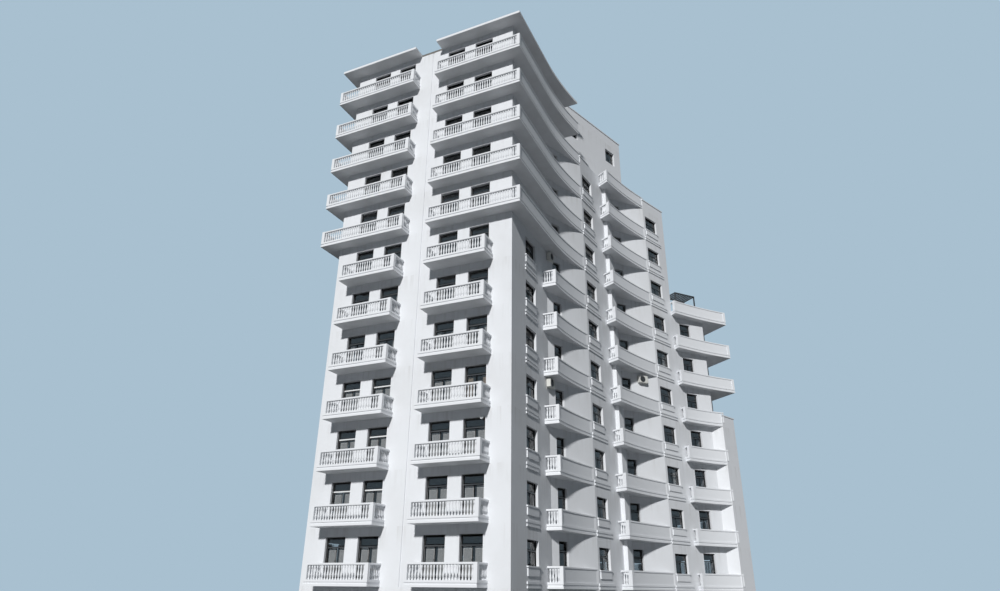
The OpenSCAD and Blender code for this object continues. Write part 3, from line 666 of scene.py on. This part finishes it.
def round_edges(bm, radius):
    bmesh.ops.bevel(
        bm, geom=bm.edges[:], offset=radius, segments=2, profile=0.5, affect="EDGES", material=-1
    )


def mesh_from(bm, name):
    """Turns a filled bmesh into a mesh with its faces pointing outwards."""
    bmesh.ops.recalc_face_normals(bm, faces=bm.faces[:])
    mesh = bpy.data.meshes.new(name)
    bm.to_mesh(mesh)
    bm.free()
    return mesh


def stamp(bm, template, place):
    """Adds a copy of a finished mesh at a place."""
    before = len(bm.verts)
    bm.from_mesh(template)
    bm.verts.ensure_lookup_table()
    bmesh.ops.transform(bm, matrix=place, verts=bm.verts[before:])


def add_object(bm, name, material):
    """Puts a filled bmesh in the scene as an object of one material."""
    mesh = bpy.data.meshes.new(name)
    bm.to_mesh(mesh)
    bm.free()
    mesh.materials.append(material)
    item = bpy.data.objects.new(name, mesh)
    bpy.context.scene.collection.objects.link(item)
    return item


def finish_piece(bm, name, material):
    """Makes a piece of a filled bmesh: it rides on the block and takes the finish it is given."""
    piece = add_object(bm, name, material)
    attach(piece, "root")
    return piece


def sash_spans(opening, sizes, transom):
    """The openings of the leaves and of the fixed light, as low and high x and z."""
    face = sizes.frame_face
    low_z = opening.sill + face * LOW_RAIL_SHARE
    high_z = opening.head - face
    top = opening.head - sizes.transom_drop if transom else high_z
    count = 1 if opening.width < sizes.single_below else 2
    step = (opening.width - 2 * face) / count
    leaves = [(face + i * step, face + (i + 1) * step, low_z, top) for i in range(count)]
    light = [(face, opening.width - face, top + face, high_z)] if transom else []
    return leaves, light


def frame_template(opening, sizes, transom):
    """A frame with its leaves, and a fixed light over a transom where there is one."""
    bm = bmesh.new()
    y = sizes.set_in
    width, face, depth = opening.width, sizes.frame_face, sizes.frame_depth
    add_ring(bm, (0, y, opening.sill), (width, y, opening.head), face, depth)
    leaves, light = sash_spans(opening, sizes, transom)
    sash_y = y + SASH_IN
    for x0, x1, z0, z1 in leaves:
        add_ring(bm, (x0, sash_y, z0), (x1, sash_y, z1), sizes.sash_face, sizes.sash_depth)
    for x0, x1, z0, z1 in light:
        add_block(bm, (x0, y, z0 - face), (x1, y + depth, z0))
        add_ring(bm, (x0, sash_y, z0), (x1, sash_y, z1), sizes.sash_face / 2, sizes.sash_depth)
    # A lever handle on the leaf that opens first
    grip = opening.sill + (opening.head - opening.sill) * HANDLE_AT
    lock = leaves[0][1] - sizes.sash_face / 2
    add_block(
        bm, (lock, y - HANDLE_OUT, grip), (lock + HANDLE_WIDTH, y + HANDLE_IN, grip + HANDLE_HEIGHT)
    )
    return mesh_from(bm, "unit")


def pane_template(opening, sizes, transom):
    """The panes of a unit, one for each leaf and one over the transom."""
    bm = bmesh.new()
    leaves, light = sash_spans(opening, sizes, transom)
    y = sizes.set_in + sizes.sash_depth / 2
    edge = sizes.sash_face * PANE_IN_SASH
    for x0, x1, z0, z1 in leaves + light:
        add_block(bm, (x0 + edge, y, z0 + edge), (x1 - edge, y + sizes.pane, z1 - edge))
    return mesh_from(bm, "panes")


def curtain_template(opening, sizes, transom, drawn):
    """A gathered curtain behind each leaf, drawn across it by a share of its width."""
    bm = bmesh.new()
    leaves, _ = sash_spans(opening, sizes, transom)
    for number, (x0, x1, z0, z1) in enumerate(leaves):
        width = (x1 - x0) * drawn
        start = x0 if number == 0 else x1 - width
        steps = max(LEAST_STEPS, int(STEPS_IN_A_FOLD * width / sizes.fold_pitch))
        made = bmesh.ops.create_grid(bm, x_segments=steps, y_segments=1, size=0.5)["verts"]
        upright = Matrix.Rotation(math.pi / 2, 4, "X")
        stretch = Matrix.Diagonal((width, 1, z1 - z0, 1))
        spot = Matrix.Translation((start + width / 2, sizes.curtain_in, (z0 + z1) / 2))
        bmesh.ops.transform(bm, matrix=spot @ stretch @ upright, verts=made)
        for vert in made:
            # The folds differ in depth by up to two fifths
            turn = 2 * math.pi * vert.co.x / sizes.fold_pitch
            vert.co.y += sizes.fold_depth / 2 * math.sin(turn) * (0.8 + 0.2 * math.sin(turn * 0.37))
    return mesh_from(bm, "curtains")


def stamp_units(openings, template, *details):
    """Puts a unit in each opening of like openings, where those of one width share a mesh."""
    meshes = {}
    bm = bmesh.new()
    for o in openings:
        if o.width not in meshes:
            meshes[o.width] = template(o, *details)
        stamp(bm, meshes[o.width], o.wall.place(o.at, level(o.storey)))
    return bm


def hang_curtains(openings, name, sizes, cloth, transom, drawn):
    bm = stamp_units(openings, curtain_template, sizes, transom, drawn)
    area = sum(face.calc_area() for face in bm.faces)
    piece = finish_piece(bm, name, cloth)
    piece.data.shade_smooth()


def cut_wall(bm, wall, start, finish, low, high, openings=(), shifts=(0, 0)):
    """Adds a wall with its openings cut through; the shifts lengthen its inner face at each end."""
    part = bmesh.new()
    spots = ((start, low), (finish, low), (finish, high), (start, high))
    part.faces.new([part.verts.new((x, 0, z)) for x, z in spots])
    holes = [
        (o.at, o.at + o.width, level(o.storey) + o.sill, level(o.storey) + o.head)
        for o in openings
        if o.wall is wall and low <= level(o.storey) + o.sill < high and start <= o.at < finish
    ]
    for left, right, sill, head in holes:
        planes = [((x, 0, 0), (1, 0, 0)) for x in (left, right)]
        planes += [((0, 0, z), (0, 0, 1)) for z in (sill, head)]
        for spot, normal in planes:
            everything = part.verts[:] + part.edges[:] + part.faces[:]
            bmesh.ops.bisect_plane(
                part, geom=everything, dist=SAME_PLACE, plane_co=spot, plane_no=normal
            )
    inside = []
    for face in part.faces:
        middle = face.calc_center_median()
        if any(h[0] < middle.x < h[1] and h[2] < middle.z < h[3] for h in holes):
            inside.append(face)
    bmesh.ops.delete(part, geom=inside, context="FACES")
    grown = bmesh.ops.extrude_face_region(part, geom=part.faces[:], use_keep_orig=True)
    inner = [v for v in grown["geom"] if isinstance(v, bmesh.types.BMVert)]
    bmesh.ops.translate(part, vec=(0, WALL, 0), verts=inner)
    first = [v for v in inner if v.co.x < start + SAME_PLACE]
    last = [v for v in inner if v.co.x > finish - SAME_PLACE]
    bmesh.ops.translate(part, vec=(-shifts[0], 0, 0), verts=first)
    bmesh.ops.translate(part, vec=(shifts[1], 0, 0), verts=last)
    stamp(bm, mesh_from(part, "wall"), wall.place(0, 0))


def mitre(turn):
    """How far a wall's inner face runs on where the next wall turns outwards by an angle."""
    return WALL * math.tan(turn / 2)


def trim(turn):
    """How far a wall's inner face stops short where it meets a wall that crosses the plan."""
    return -WALL * math.tan(turn)


def storey_heights(count):
    """From the top of each storey's slab to the next slab, with the ground storey first."""
    yield 0, GROUND
    for k in range(count):
        yield level(k) + SLAB, level(k + 1)


def outdoor_unit(sizes):
    """Casing with wall brackets, and fan guard, of an outdoor unit, as two meshes."""
    width, height = sizes.unit_width, sizes.unit_height
    front = -sizes.unit_gap - sizes.unit_depth
    casing = bmesh.new()
    add_block(casing, (0, front, 0), (width, -sizes.unit_gap, height))
    round_edges(casing, UNIT_ROUNDING)
    for share in BRACKETS_AT:
        left, right = width * share - BRACKET / 2, width * share + BRACKET / 2
        add_block(casing, (left, front + BRACKET, -BRACKET), (right, 0, 0))
        add_block(casing, (left, -BRACKET / 2, -BRACKET_DROP), (right, 0, -BRACKET))
    guard = bmesh.new()
    hub = Vector((width * FAN_AT, front - FAN_PLATE / 2, height / 2))
    radius = height * FAN_SHARE
    add_disc(guard, hub, radius, FAN_PLATE)
    for share in GUARD_HOOPS:
        add_hoop(guard, hub - Vector((0, GUARD_OUT, 0)), radius * share, GUARD_WIRE)
    return mesh_from(casing, "casing"), mesh_from(guard, "guard")


class BLOCK_OT_paint_frame(bpy.types.Operator):
    """Gives every node of the frame its finish"""

    bl_idname = "apartment_block.paint_frame"
    bl_label = "Paint the frame"

    def execute(self, context):
        finishes = context.scene.block_finishes
        # Masonry paint over float-finished render: dead matt, so light falls off softly
        paint_nodes(
            [
                "front_wall", "side_wall", "first_block_wall", "first_bay_wall", "second_block_wall",
                "second_bay_wall", "end_block_wall", "left_wall", "setback_wall", "upper_step_wall",
                "lower_step_wall",
            ],
            street_paint("matt_masonry_paint", finishes),
        )
        # Unpainted mineral render at the back: rougher and more stained than the street sides
        back = painted_masonry(
            "grey_mineral_render", finishes.back_paint, finishes.plinth_stone,
            streaks=0.4, grain_mm=8, relief_mm=1.0,
        )
        paint_nodes(["end_wall", "back_wall_far", "back_wall_middle", "back_wall_near"], back)
        # Cast concrete under exterior paint: crisp mouldings, a little smoother than the walls, with
        # painted shade on the undersides
        paint_nodes(
            [
                "parapet_copings", "canopies", "narrow_slabs", "narrow_balustrades", "narrow_posts",
                "wide_slabs", "wide_balustrades", "wide_side_panels", "wide_posts", "near_bay_slabs",
                "near_bay_balustrades", "first_bay_slabs", "first_bay_balustrades",
                "second_bay_slabs", "second_bay_balustrades", "window_aprons", "window_bands",
            ],
            cast_concrete("painted_cast_concrete", finishes.cast_paint, finishes.rain_grime_and_soffit_shade),
        )
        # Bare floors seen through the windows: grey and without gloss
        concrete = mottled(
            "bare_concrete", finishes.bare_concrete, CONCRETE_SHADE,
            grain_mm=111, relief_mm=0.5, roughness=0.9,
        )
        paint_nodes(["floors"], concrete)
        # Mineral felt: a dark grit that looks dry and even
        felt = mottled(
            "mineral_roof_felt", finishes.roof_felt, FELT_SHADE,
            grain_mm=16.7, relief_mm=0.8, roughness=0.95,
        )
        paint_nodes(["main_roof"], felt)
        # Sawn limestone at the foot of the walls: fine mottling, slightly smoother than render
        paint_nodes(["plinth_course"], limestone("sawn_limestone", finishes))
        # Powder coated steel bars: satin, almost black
        paint_nodes(["pergola"], powder_coat("powder_coated_steel", finishes.dark_frames, roughness=0.45))
        return {"FINISHED"}


class BLOCK_OT_turn_bays(bpy.types.Operator):
    """Builds the walls of the three bays on the curved side, which turn outwards"""

    bl_idname = "apartment_block.turn_bays"
    bl_label = "Turn the bays' walls"

    def execute(self, context):
        finishes = context.scene.block_finishes
        # The same matt masonry paint as on the walls beside them
        paint = street_paint("matt_bay_paint", finishes)
        for name, node, build in (
            ("side_and_near_bay_walls", "side_wall", self.build_near_bay),
            ("first_bay_turned_walls", "first_bay_wall", self.build_first_bay),
            ("second_bay_turned_walls", "second_bay_wall", self.build_second_bay),
        ):
            bm = bmesh.new()
            build(bm)
            piece = finish_piece(bm, name, paint)
            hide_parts(node)
        self.lay_plinths(finishes)
        return {"FINISHED"}

    def build_near_bay(self, bm):
        """The side wall, straight but for the near bay below the middle roof."""
        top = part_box("side_wall")[1].z
        turned = mitre(NEAR_BAY.direction)
        length = length_between(NEAR_BAY.start, FIRST_BLOCK.start)
        cut_wall(bm, SIDE, 0, NEAR_BAY_FROM, 0, top, SIDE_WINDOWS, (-WALL, 0))
        for low, high in storey_heights(MIDDLE_STOREYS):
            cut_wall(bm, SIDE, NEAR_BAY_FROM, NEAR_BAY_TURN, low, high, (), (0, turned))
            cut_wall(bm, NEAR_BAY, 0, length, low, high, SIDE_DOORS, (turned, trim(NEAR_BAY.direction)))
        for k in range(MIDDLE_STOREYS):
            cut_wall(bm, SIDE, NEAR_BAY_FROM, SIDE_LENGTH, level(k), level(k) + SLAB)
        cut_wall(bm, SIDE, NEAR_BAY_FROM, SIDE_LENGTH, level(MIDDLE_STOREYS), top, SIDE_DOORS)

    def build_first_bay(self, bm):
        turned = mitre(FIRST_BAY.direction - FIRST_LINE.direction)
        length = length_between(FIRST_BAY.start, SECOND_BLOCK.start)
        for low, high in storey_heights(MIDDLE_STOREYS):
            cut_wall(bm, FIRST_LINE, 0, FIRST_BAY_TURN, low, high, (), (0, turned))
            cut_wall(bm, FIRST_BAY, 0, length, low, high, SIDE_DOORS, (turned, trim(FIRST_BAY.direction)))
        for k in range(MIDDLE_STOREYS + 1):
            cut_wall(bm, FIRST_LINE, 0, FIRST_LINE_LENGTH, level(k), level(k) + SLAB)

    def build_second_bay(self, bm):
        """The second bay: it meets the low end block, and has a far face of its own above that."""
        turned = mitre(SECOND_BAY.direction - SECOND_WEDGE.direction)
        to_return = length_between(SECOND_BAY.start, RETURN_END)
        to_end = length_between(SECOND_LINE.start, BAY_END)
        for k, (low, high) in enumerate(storey_heights(FAR_STOREYS), GROUND_STOREY):
            beside_end_block = k < END_STOREYS
            length = to_return if beside_end_block else SECOND_BAY_LENGTH
            last = trim(SECOND_BAY.direction) if beside_end_block else -WALL
            cut_wall(bm, SECOND_WEDGE, 0, SECOND_BAY_TURN, low, high, (), (0, turned))
            cut_wall(bm, SECOND_BAY, 0, length, low, high, SIDE_DOORS, (turned, last))
            if not beside_end_block:
                cut_wall(bm, FAR_FACE, 0, length_between(FAR_FACE.start, FAR_FACE_END), low, high)
                from_face = length_between(SECOND_LINE.start, FAR_FACE_END)
                cut_wall(bm, SECOND_LINE, from_face, to_end, low, high)
        for k in range(FAR_STOREYS + 1):
            finish = to_end if k > END_STOREYS else SECOND_LINE_LENGTH
            cut_wall(bm, SECOND_LINE, 0, finish, level(k), level(k) + SLAB)

    def lay_plinths(self, finishes):
        """The stone course goes on round the turned walls."""
        # Sawn limestone, as on the course beside it: fine mottling, slightly smoother than render
        stone = limestone("sawn_limestone_course", finishes)
        bm = bmesh.new()
        for wall, finish in (
            (NEAR_BAY, FIRST_BLOCK.start),
            (FIRST_BAY, SECOND_BLOCK.start),
            (SECOND_BAY, RETURN_END),
        ):
            course = bmesh.new()
            add_block(course, (0, -FOOT_OUT, 0), (length_between(wall.start, finish), 0, FOOT_HEIGHT))
            stamp(bm, mesh_from(course, "course"), wall.place(0, 0))
        finish_piece(bm, "bay_plinth_courses", stone)


class BLOCK_OT_fit_frames(bpy.types.Operator):
    """Fits the frames and leaves of the doors and windows"""

    bl_idname = "apartment_block.fit_frames"
    bl_label = "Fit the door and window frames"

    def execute(self, context):
        finishes = context.scene.block_finishes
        sizes = context.scene.block_joinery
        # Powder coated aluminium: near black with a satin face
        dark = powder_coat("powder_coated_aluminium", finishes.dark_frames, roughness=0.4)
        # Moulded plastic profiles: white, smooth and slightly glossy
        pale = powder_coat("white_moulded_plastic", finishes.white_frames, roughness=0.32)
        white_doors = [o for o in LEFT_DOORS if o.storey in WHITE_DOOR_STOREYS]
        dark_doors = [o for o in LEFT_DOORS if o.storey not in WHITE_DOOR_STOREYS] + RIGHT_DOORS
        for name, openings, transom, finish, slot in (
            ("entrance_frame", [ENTRANCE], True, dark, "dark_frame"),
            ("front_door_frames", dark_doors, True, dark, "dark_frame"),
            ("white_door_frames", white_doors, True, pale, "white_frame"),
            ("side_door_frames", SIDE_DOORS, True, dark, "dark_frame"),
            ("side_window_frames", SIDE_WINDOWS, True, dark, "dark_frame"),
            ("setback_window_frames", SETBACK_WINDOWS, False, dark, "dark_frame"),
            ("back_window_frames", UNSEEN_WINDOWS, False, pale, "white_frame"),
        ):
            finish_piece(stamp_units(openings, frame_template, sizes, transom), name, finish)
        return {"FINISHED"}


class BLOCK_OT_glaze(bpy.types.Operator):
    """Sets the panes in the doors and windows"""

    bl_idname = "apartment_block.glaze"
    bl_label = "Glaze the doors and windows"

    def execute(self, context):
        sizes = context.scene.block_joinery
        # Float glass: its darkness from outside by day is painted shade of the room, with clear
        # reflections
        glass = float_glass("float_glass", context.scene.block_finishes.glass_and_room_shade)
        for name, openings, transom in (
            ("entrance_panes", [ENTRANCE], True),
            ("front_door_panes", LEFT_DOORS + RIGHT_DOORS, True),
            ("side_door_panes", SIDE_DOORS, True),
            ("side_window_panes", SIDE_WINDOWS, True),
            ("setback_window_panes", SETBACK_WINDOWS, False),
            ("back_window_panes", UNSEEN_WINDOWS, False),
        ):
            finish_piece(stamp_units(openings, pane_template, sizes, transom), name, glass)
        return {"FINISHED"}


class BLOCK_OT_hang_curtains(bpy.types.Operator):
    """Hangs the curtains that show behind the doors and windows"""

    bl_idname = "apartment_block.hang_curtains"
    bl_label = "Hang the curtains"

    def execute(self, context):
        finishes = context.scene.block_finishes
        sizes = context.scene.block_joinery
        # Polyester voile: thin, white, in soft even folds
        voile = woven_cloth("polyester_voile", finishes.curtain_cloth)
        # Cotton curtain: heavier and warm in tone
        cotton = woven_cloth("beige_cotton", finishes.beige_cloth)
        doors = LEFT_DOORS + RIGHT_DOORS
        beige = [o for o in RIGHT_DOORS if o.storey == BEIGE_STOREY][-1:]
        low = [o for o in doors if o.storey <= BEIGE_STOREY and o not in beige]
        # Some of the higher doors and of the other windows are bare
        high = [o for n, o in enumerate(doors) if o.storey > BEIGE_STOREY and n % 3]
        back = [o for n, o in enumerate(UNSEEN_WINDOWS) if n % 4]
        side = [o for n, o in enumerate(SIDE_WINDOWS) if n % 3 == 0]
        hang_curtains(low, "low_curtains", sizes, voile, transom=True, drawn=0.86)
        hang_curtains(beige, "beige_curtain", sizes, cotton, transom=True, drawn=0.5)
        hang_curtains(high, "high_curtains", sizes, voile, transom=True, drawn=0.45)
        hang_curtains(back, "back_curtains", sizes, voile, transom=False, drawn=0.6)
        hang_curtains(side, "side_curtains", sizes, voile, transom=False, drawn=0.4)
        return {"FINISHED"}


class BLOCK_OT_fix_fittings(bpy.types.Operator):
    """Fixes the outdoor units, the wall lamp, the first bay's piers and the pergola"""

    bl_idname = "apartment_block.fix_fittings"
    bl_label = "Fix the fittings"

    def execute(self, context):
        finishes = context.scene.block_finishes
        self.hang_units(finishes, context.scene.block_joinery)
        self.fix_lamp(finishes)
        self.build_piers(finishes)
        self.build_pergola(finishes)
        return {"FINISHED"}

    def hang_units(self, finishes, sizes):
        # Stove enamel on sheet steel: off-white, smooth and slightly glossy
        enamel = powder_coat("stove_enamelled_steel", finishes.fan_casing, roughness=0.35)
        # Plastic-coated wire over a dark fan: black and satin
        wire = powder_coat("plastic_coated_wire", finishes.dark_frames, roughness=0.5)
        casings = bmesh.new()
        guards = bmesh.new()
        casing, guard = outdoor_unit(sizes)
        for wall, at, z in OUTDOOR_UNITS:
            stamp(casings, casing, wall.place(at, z))
            stamp(guards, guard, wall.place(at, z))
        finish_piece(casings, "outdoor_unit_casings", enamel)
        finish_piece(guards, "outdoor_unit_guards", wire)

    def fix_lamp(self, finishes):
        """A round bulkhead lamp on the strip between the two bays."""
        # Opal glass: milky and smooth, with a soft highlight
        opal = powder_coat("opal_glass", finishes.white_frames, roughness=0.2)
        bm = bmesh.new()
        half = Vector((0, LAMP_DEPTH / 2, 0))
        add_disc(bm, -half, LAMP_RADIUS, LAMP_DEPTH)
        add_hoop(bm, -2 * half, LAMP_RADIUS - 2 * LAMP_RIM, LAMP_RIM)
        bmesh.ops.recalc_face_normals(bm, faces=bm.faces[:])
        bmesh.ops.transform(bm, matrix=FRONT.place(LAMP_AT, LAMP_HEIGHT), verts=bm.verts[:])
        finish_piece(bm, "front_wall_lamp", opal)

    def build_piers(self, finishes):
        # The same matt paint as the walls that the piers stand on
        paint = street_paint("matt_pier_paint", finishes)
        bm = bmesh.new()
        for storey in range(MIDDLE_STOREYS):
            pier = bmesh.new()
            add_block(pier, (PIER_FROM, -PIER_DEPTH, SLAB), (PIER_TO, 0, RISE))
            stamp(bm, mesh_from(pier, "pier"), FIRST_BLOCK.place(0, level(storey)))
        finish_piece(bm, "first_bay_piers", paint)

    def build_pergola(self, finishes):
        # Powder coated square steel tube: dull, almost black
        steel = powder_coat("powder_coated_tube", finishes.dark_frames, roughness=0.7)
        bm = bmesh.new()
        bar = PERGOLA_BAR
        for y in (0, PERGOLA_DEPTH - bar):
            for x in (0, PERGOLA_LENGTH - bar):
                add_block(bm, (x, y, 0), (x + bar, y + bar, PERGOLA_HEIGHT - bar))
            add_block(bm, (0, y, PERGOLA_HEIGHT - bar), (PERGOLA_LENGTH, y + bar, PERGOLA_HEIGHT))
        step = (PERGOLA_LENGTH - bar) / (PERGOLA_SLATS - 1)
        for i in range(PERGOLA_SLATS):
            low = (i * step, bar, PERGOLA_HEIGHT - bar)
            add_block(bm, low, (i * step + bar, PERGOLA_DEPTH - bar, PERGOLA_HEIGHT))
        round_edges(bm, PERGOLA_ROUNDING)
        bmesh.ops.translate(bm, vec=(PERGOLA_FROM, PERGOLA_IN, 0), verts=bm.verts[:])
        place = SECOND_BAY.place(0, level(FAR_STOREYS) + SLAB)
        bmesh.ops.transform(bm, matrix=place, verts=bm.verts[:])
        piece = finish_piece(bm, "terrace_pergola", steel)
        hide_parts("pergola")


class BLOCK_OT_set_stage(bpy.types.Operator):
    """Sets the floor, the backdrop, the lamp and the camera"""

    bl_idname = "apartment_block.set_stage"
    bl_label = "Set the stage"

    def execute(self, context):
        studio = context.scene.block_studio
        finishes = context.scene.block_finishes
        self.lay_floor(finishes)
        self.hang_backdrop(context, finishes, studio)
        self.place_lamp(context, studio)
        self.place_camera(context, studio)
        context.scene.view_settings.view_transform = "Standard"
        return {"FINISHED"}

    def lay_floor(self, finishes):
        bm = bmesh.new()
        bmesh.ops.create_grid(bm, x_segments=1, y_segments=1, size=FLOOR_HALF_WIDTH)
        floor = add_object(bm, "studio_floor", self.floor_paint(finishes))

    def seen_rays(self, tree):
        """Is 1 for what the camera sees, directly, mirrored or through glass."""
        rays = add_node(tree, "LightPath").outputs
        direct = add_node(
            tree, "Math", {"operation": "MAXIMUM"}, {0: rays["Is Camera Ray"], 1: rays["Is Glossy Ray"]}
        )
        through = add_node(
            tree, "Math", {"operation": "MAXIMUM"}, {0: direct, 1: rays["Is Transmission Ray"]}
        )
        return through

    def floor_paint(self, finishes):
        """A pale matt floor that throws less light up at the balconies than it shows."""
        material, tree = start_material("studio_floor_paint")
        bounce, seen = linear(finishes.floor_bounce), linear(finishes.floor_seen)
        tone = add_node(
            tree, "Mix", {"data_type": "RGBA", MIX_UNDER: bounce, MIX_OVER: seen},
            {MIX_AMOUNT: self.seen_rays(tree)},
        )
        return finish_material(material, {"Roughness": 0.9}, {"Base Color": tone.outputs[MIX_RESULT]})

    def hang_backdrop(self, context, finishes, studio):
        world = bpy.data.worlds.new("studio")
        context.scene.world = world
        world.use_nodes = True
        tree = world.node_tree
        tree.nodes.clear()
        fill = add_node(tree, "Background", {"Color": linear(FILL_TONE), "Strength": studio.fill_power})
        backdrop = add_node(tree, "Background", {"Color": linear(finishes.sky_colour), "Strength": 1.0})
        either = add_node(tree, "MixShader", links={0: self.seen_rays(tree), 1: fill, 2: backdrop})
        add_node(tree, "OutputWorld", links={"Surface": either})

    def place_lamp(self, context, studio):
        lamp = bpy.data.lights.new("key_lamp", "SUN")
        lamp.energy = studio.lamp_power
        lamp.angle = studio.lamp_spread
        key = bpy.data.objects.new("key_lamp", lamp)
        context.scene.collection.objects.link(key)
        flat = math.cos(studio.lamp_height)
        sideways, forwards = math.sin(studio.lamp_turn), -math.cos(studio.lamp_turn)
        towards = Vector((flat * sideways, flat * forwards, math.sin(studio.lamp_height)))
        key.rotation_euler = towards.to_track_quat("Z", "Y").to_euler()

    def place_camera(self, context, studio):
        data = bpy.data.cameras.new("camera")
        data.lens = studio.lens
        data.sensor_width = SENSOR_WIDTH
        data.sensor_fit = "HORIZONTAL"
        camera = bpy.data.objects.new("camera", data)
        context.scene.collection.objects.link(camera)
        upright = Matrix.Rotation(math.pi / 2 + studio.look_up, 4, "X")
        turned = Matrix.Rotation(studio.look_left, 4, "Z")
        rolled = Matrix.Rotation(studio.roll, 4, "Z")
        camera.matrix_world = Matrix.Translation(studio.place) @ turned @ upright @ rolled
        context.scene.camera = camera


class BLOCK_PT_panel(bpy.types.Panel):
    """Lists the steps that dress the block"""

    bl_label = "Apartment Block"
    bl_idname = "BLOCK_PT_panel"
    bl_space_type = "VIEW_3D"
    bl_region_type = "UI"
    bl_category = "Apartment Block"

    def draw(self, context):
        for step in STEPS:
            self.layout.operator(step.bl_idname)
        scene = context.scene
        for group in (scene.block_finishes, scene.block_joinery, scene.block_studio):
            for name in group.bl_rna.properties.keys():
                if name not in ("rna_type", "name"):
                    self.layout.prop(group, name)


STEPS = (
    BLOCK_OT_set_stage,
    BLOCK_OT_paint_frame,
    BLOCK_OT_turn_bays,
    BLOCK_OT_fit_frames,
    BLOCK_OT_glaze,
    BLOCK_OT_hang_curtains,
    BLOCK_OT_fix_fittings,
)
CLASSES = (BlockFinishes, BlockJoinery, BlockStudio, *STEPS, BLOCK_PT_panel)


def register():
    for item in CLASSES:
        bpy.utils.register_class(item)
    bpy.types.Scene.block_finishes = bpy.props.PointerProperty(type=BlockFinishes)
    bpy.types.Scene.block_joinery = bpy.props.PointerProperty(type=BlockJoinery)
    bpy.types.Scene.block_studio = bpy.props.PointerProperty(type=BlockStudio)


def unregister():
    del bpy.types.Scene.block_studio
    del bpy.types.Scene.block_joinery
    del bpy.types.Scene.block_finishes
    for item in reversed(CLASSES):
        bpy.utils.unregister_class(item)


def main():
    register()
    bpy.ops.apartment_block.set_stage()
    bpy.ops.apartment_block.paint_frame()
    bpy.ops.apartment_block.turn_bays()
    bpy.ops.apartment_block.fit_frames()
    bpy.ops.apartment_block.glaze()
    bpy.ops.apartment_block.hang_curtains()
    bpy.ops.apartment_block.fix_fittings()


if __name__ == "__main__":
    main()
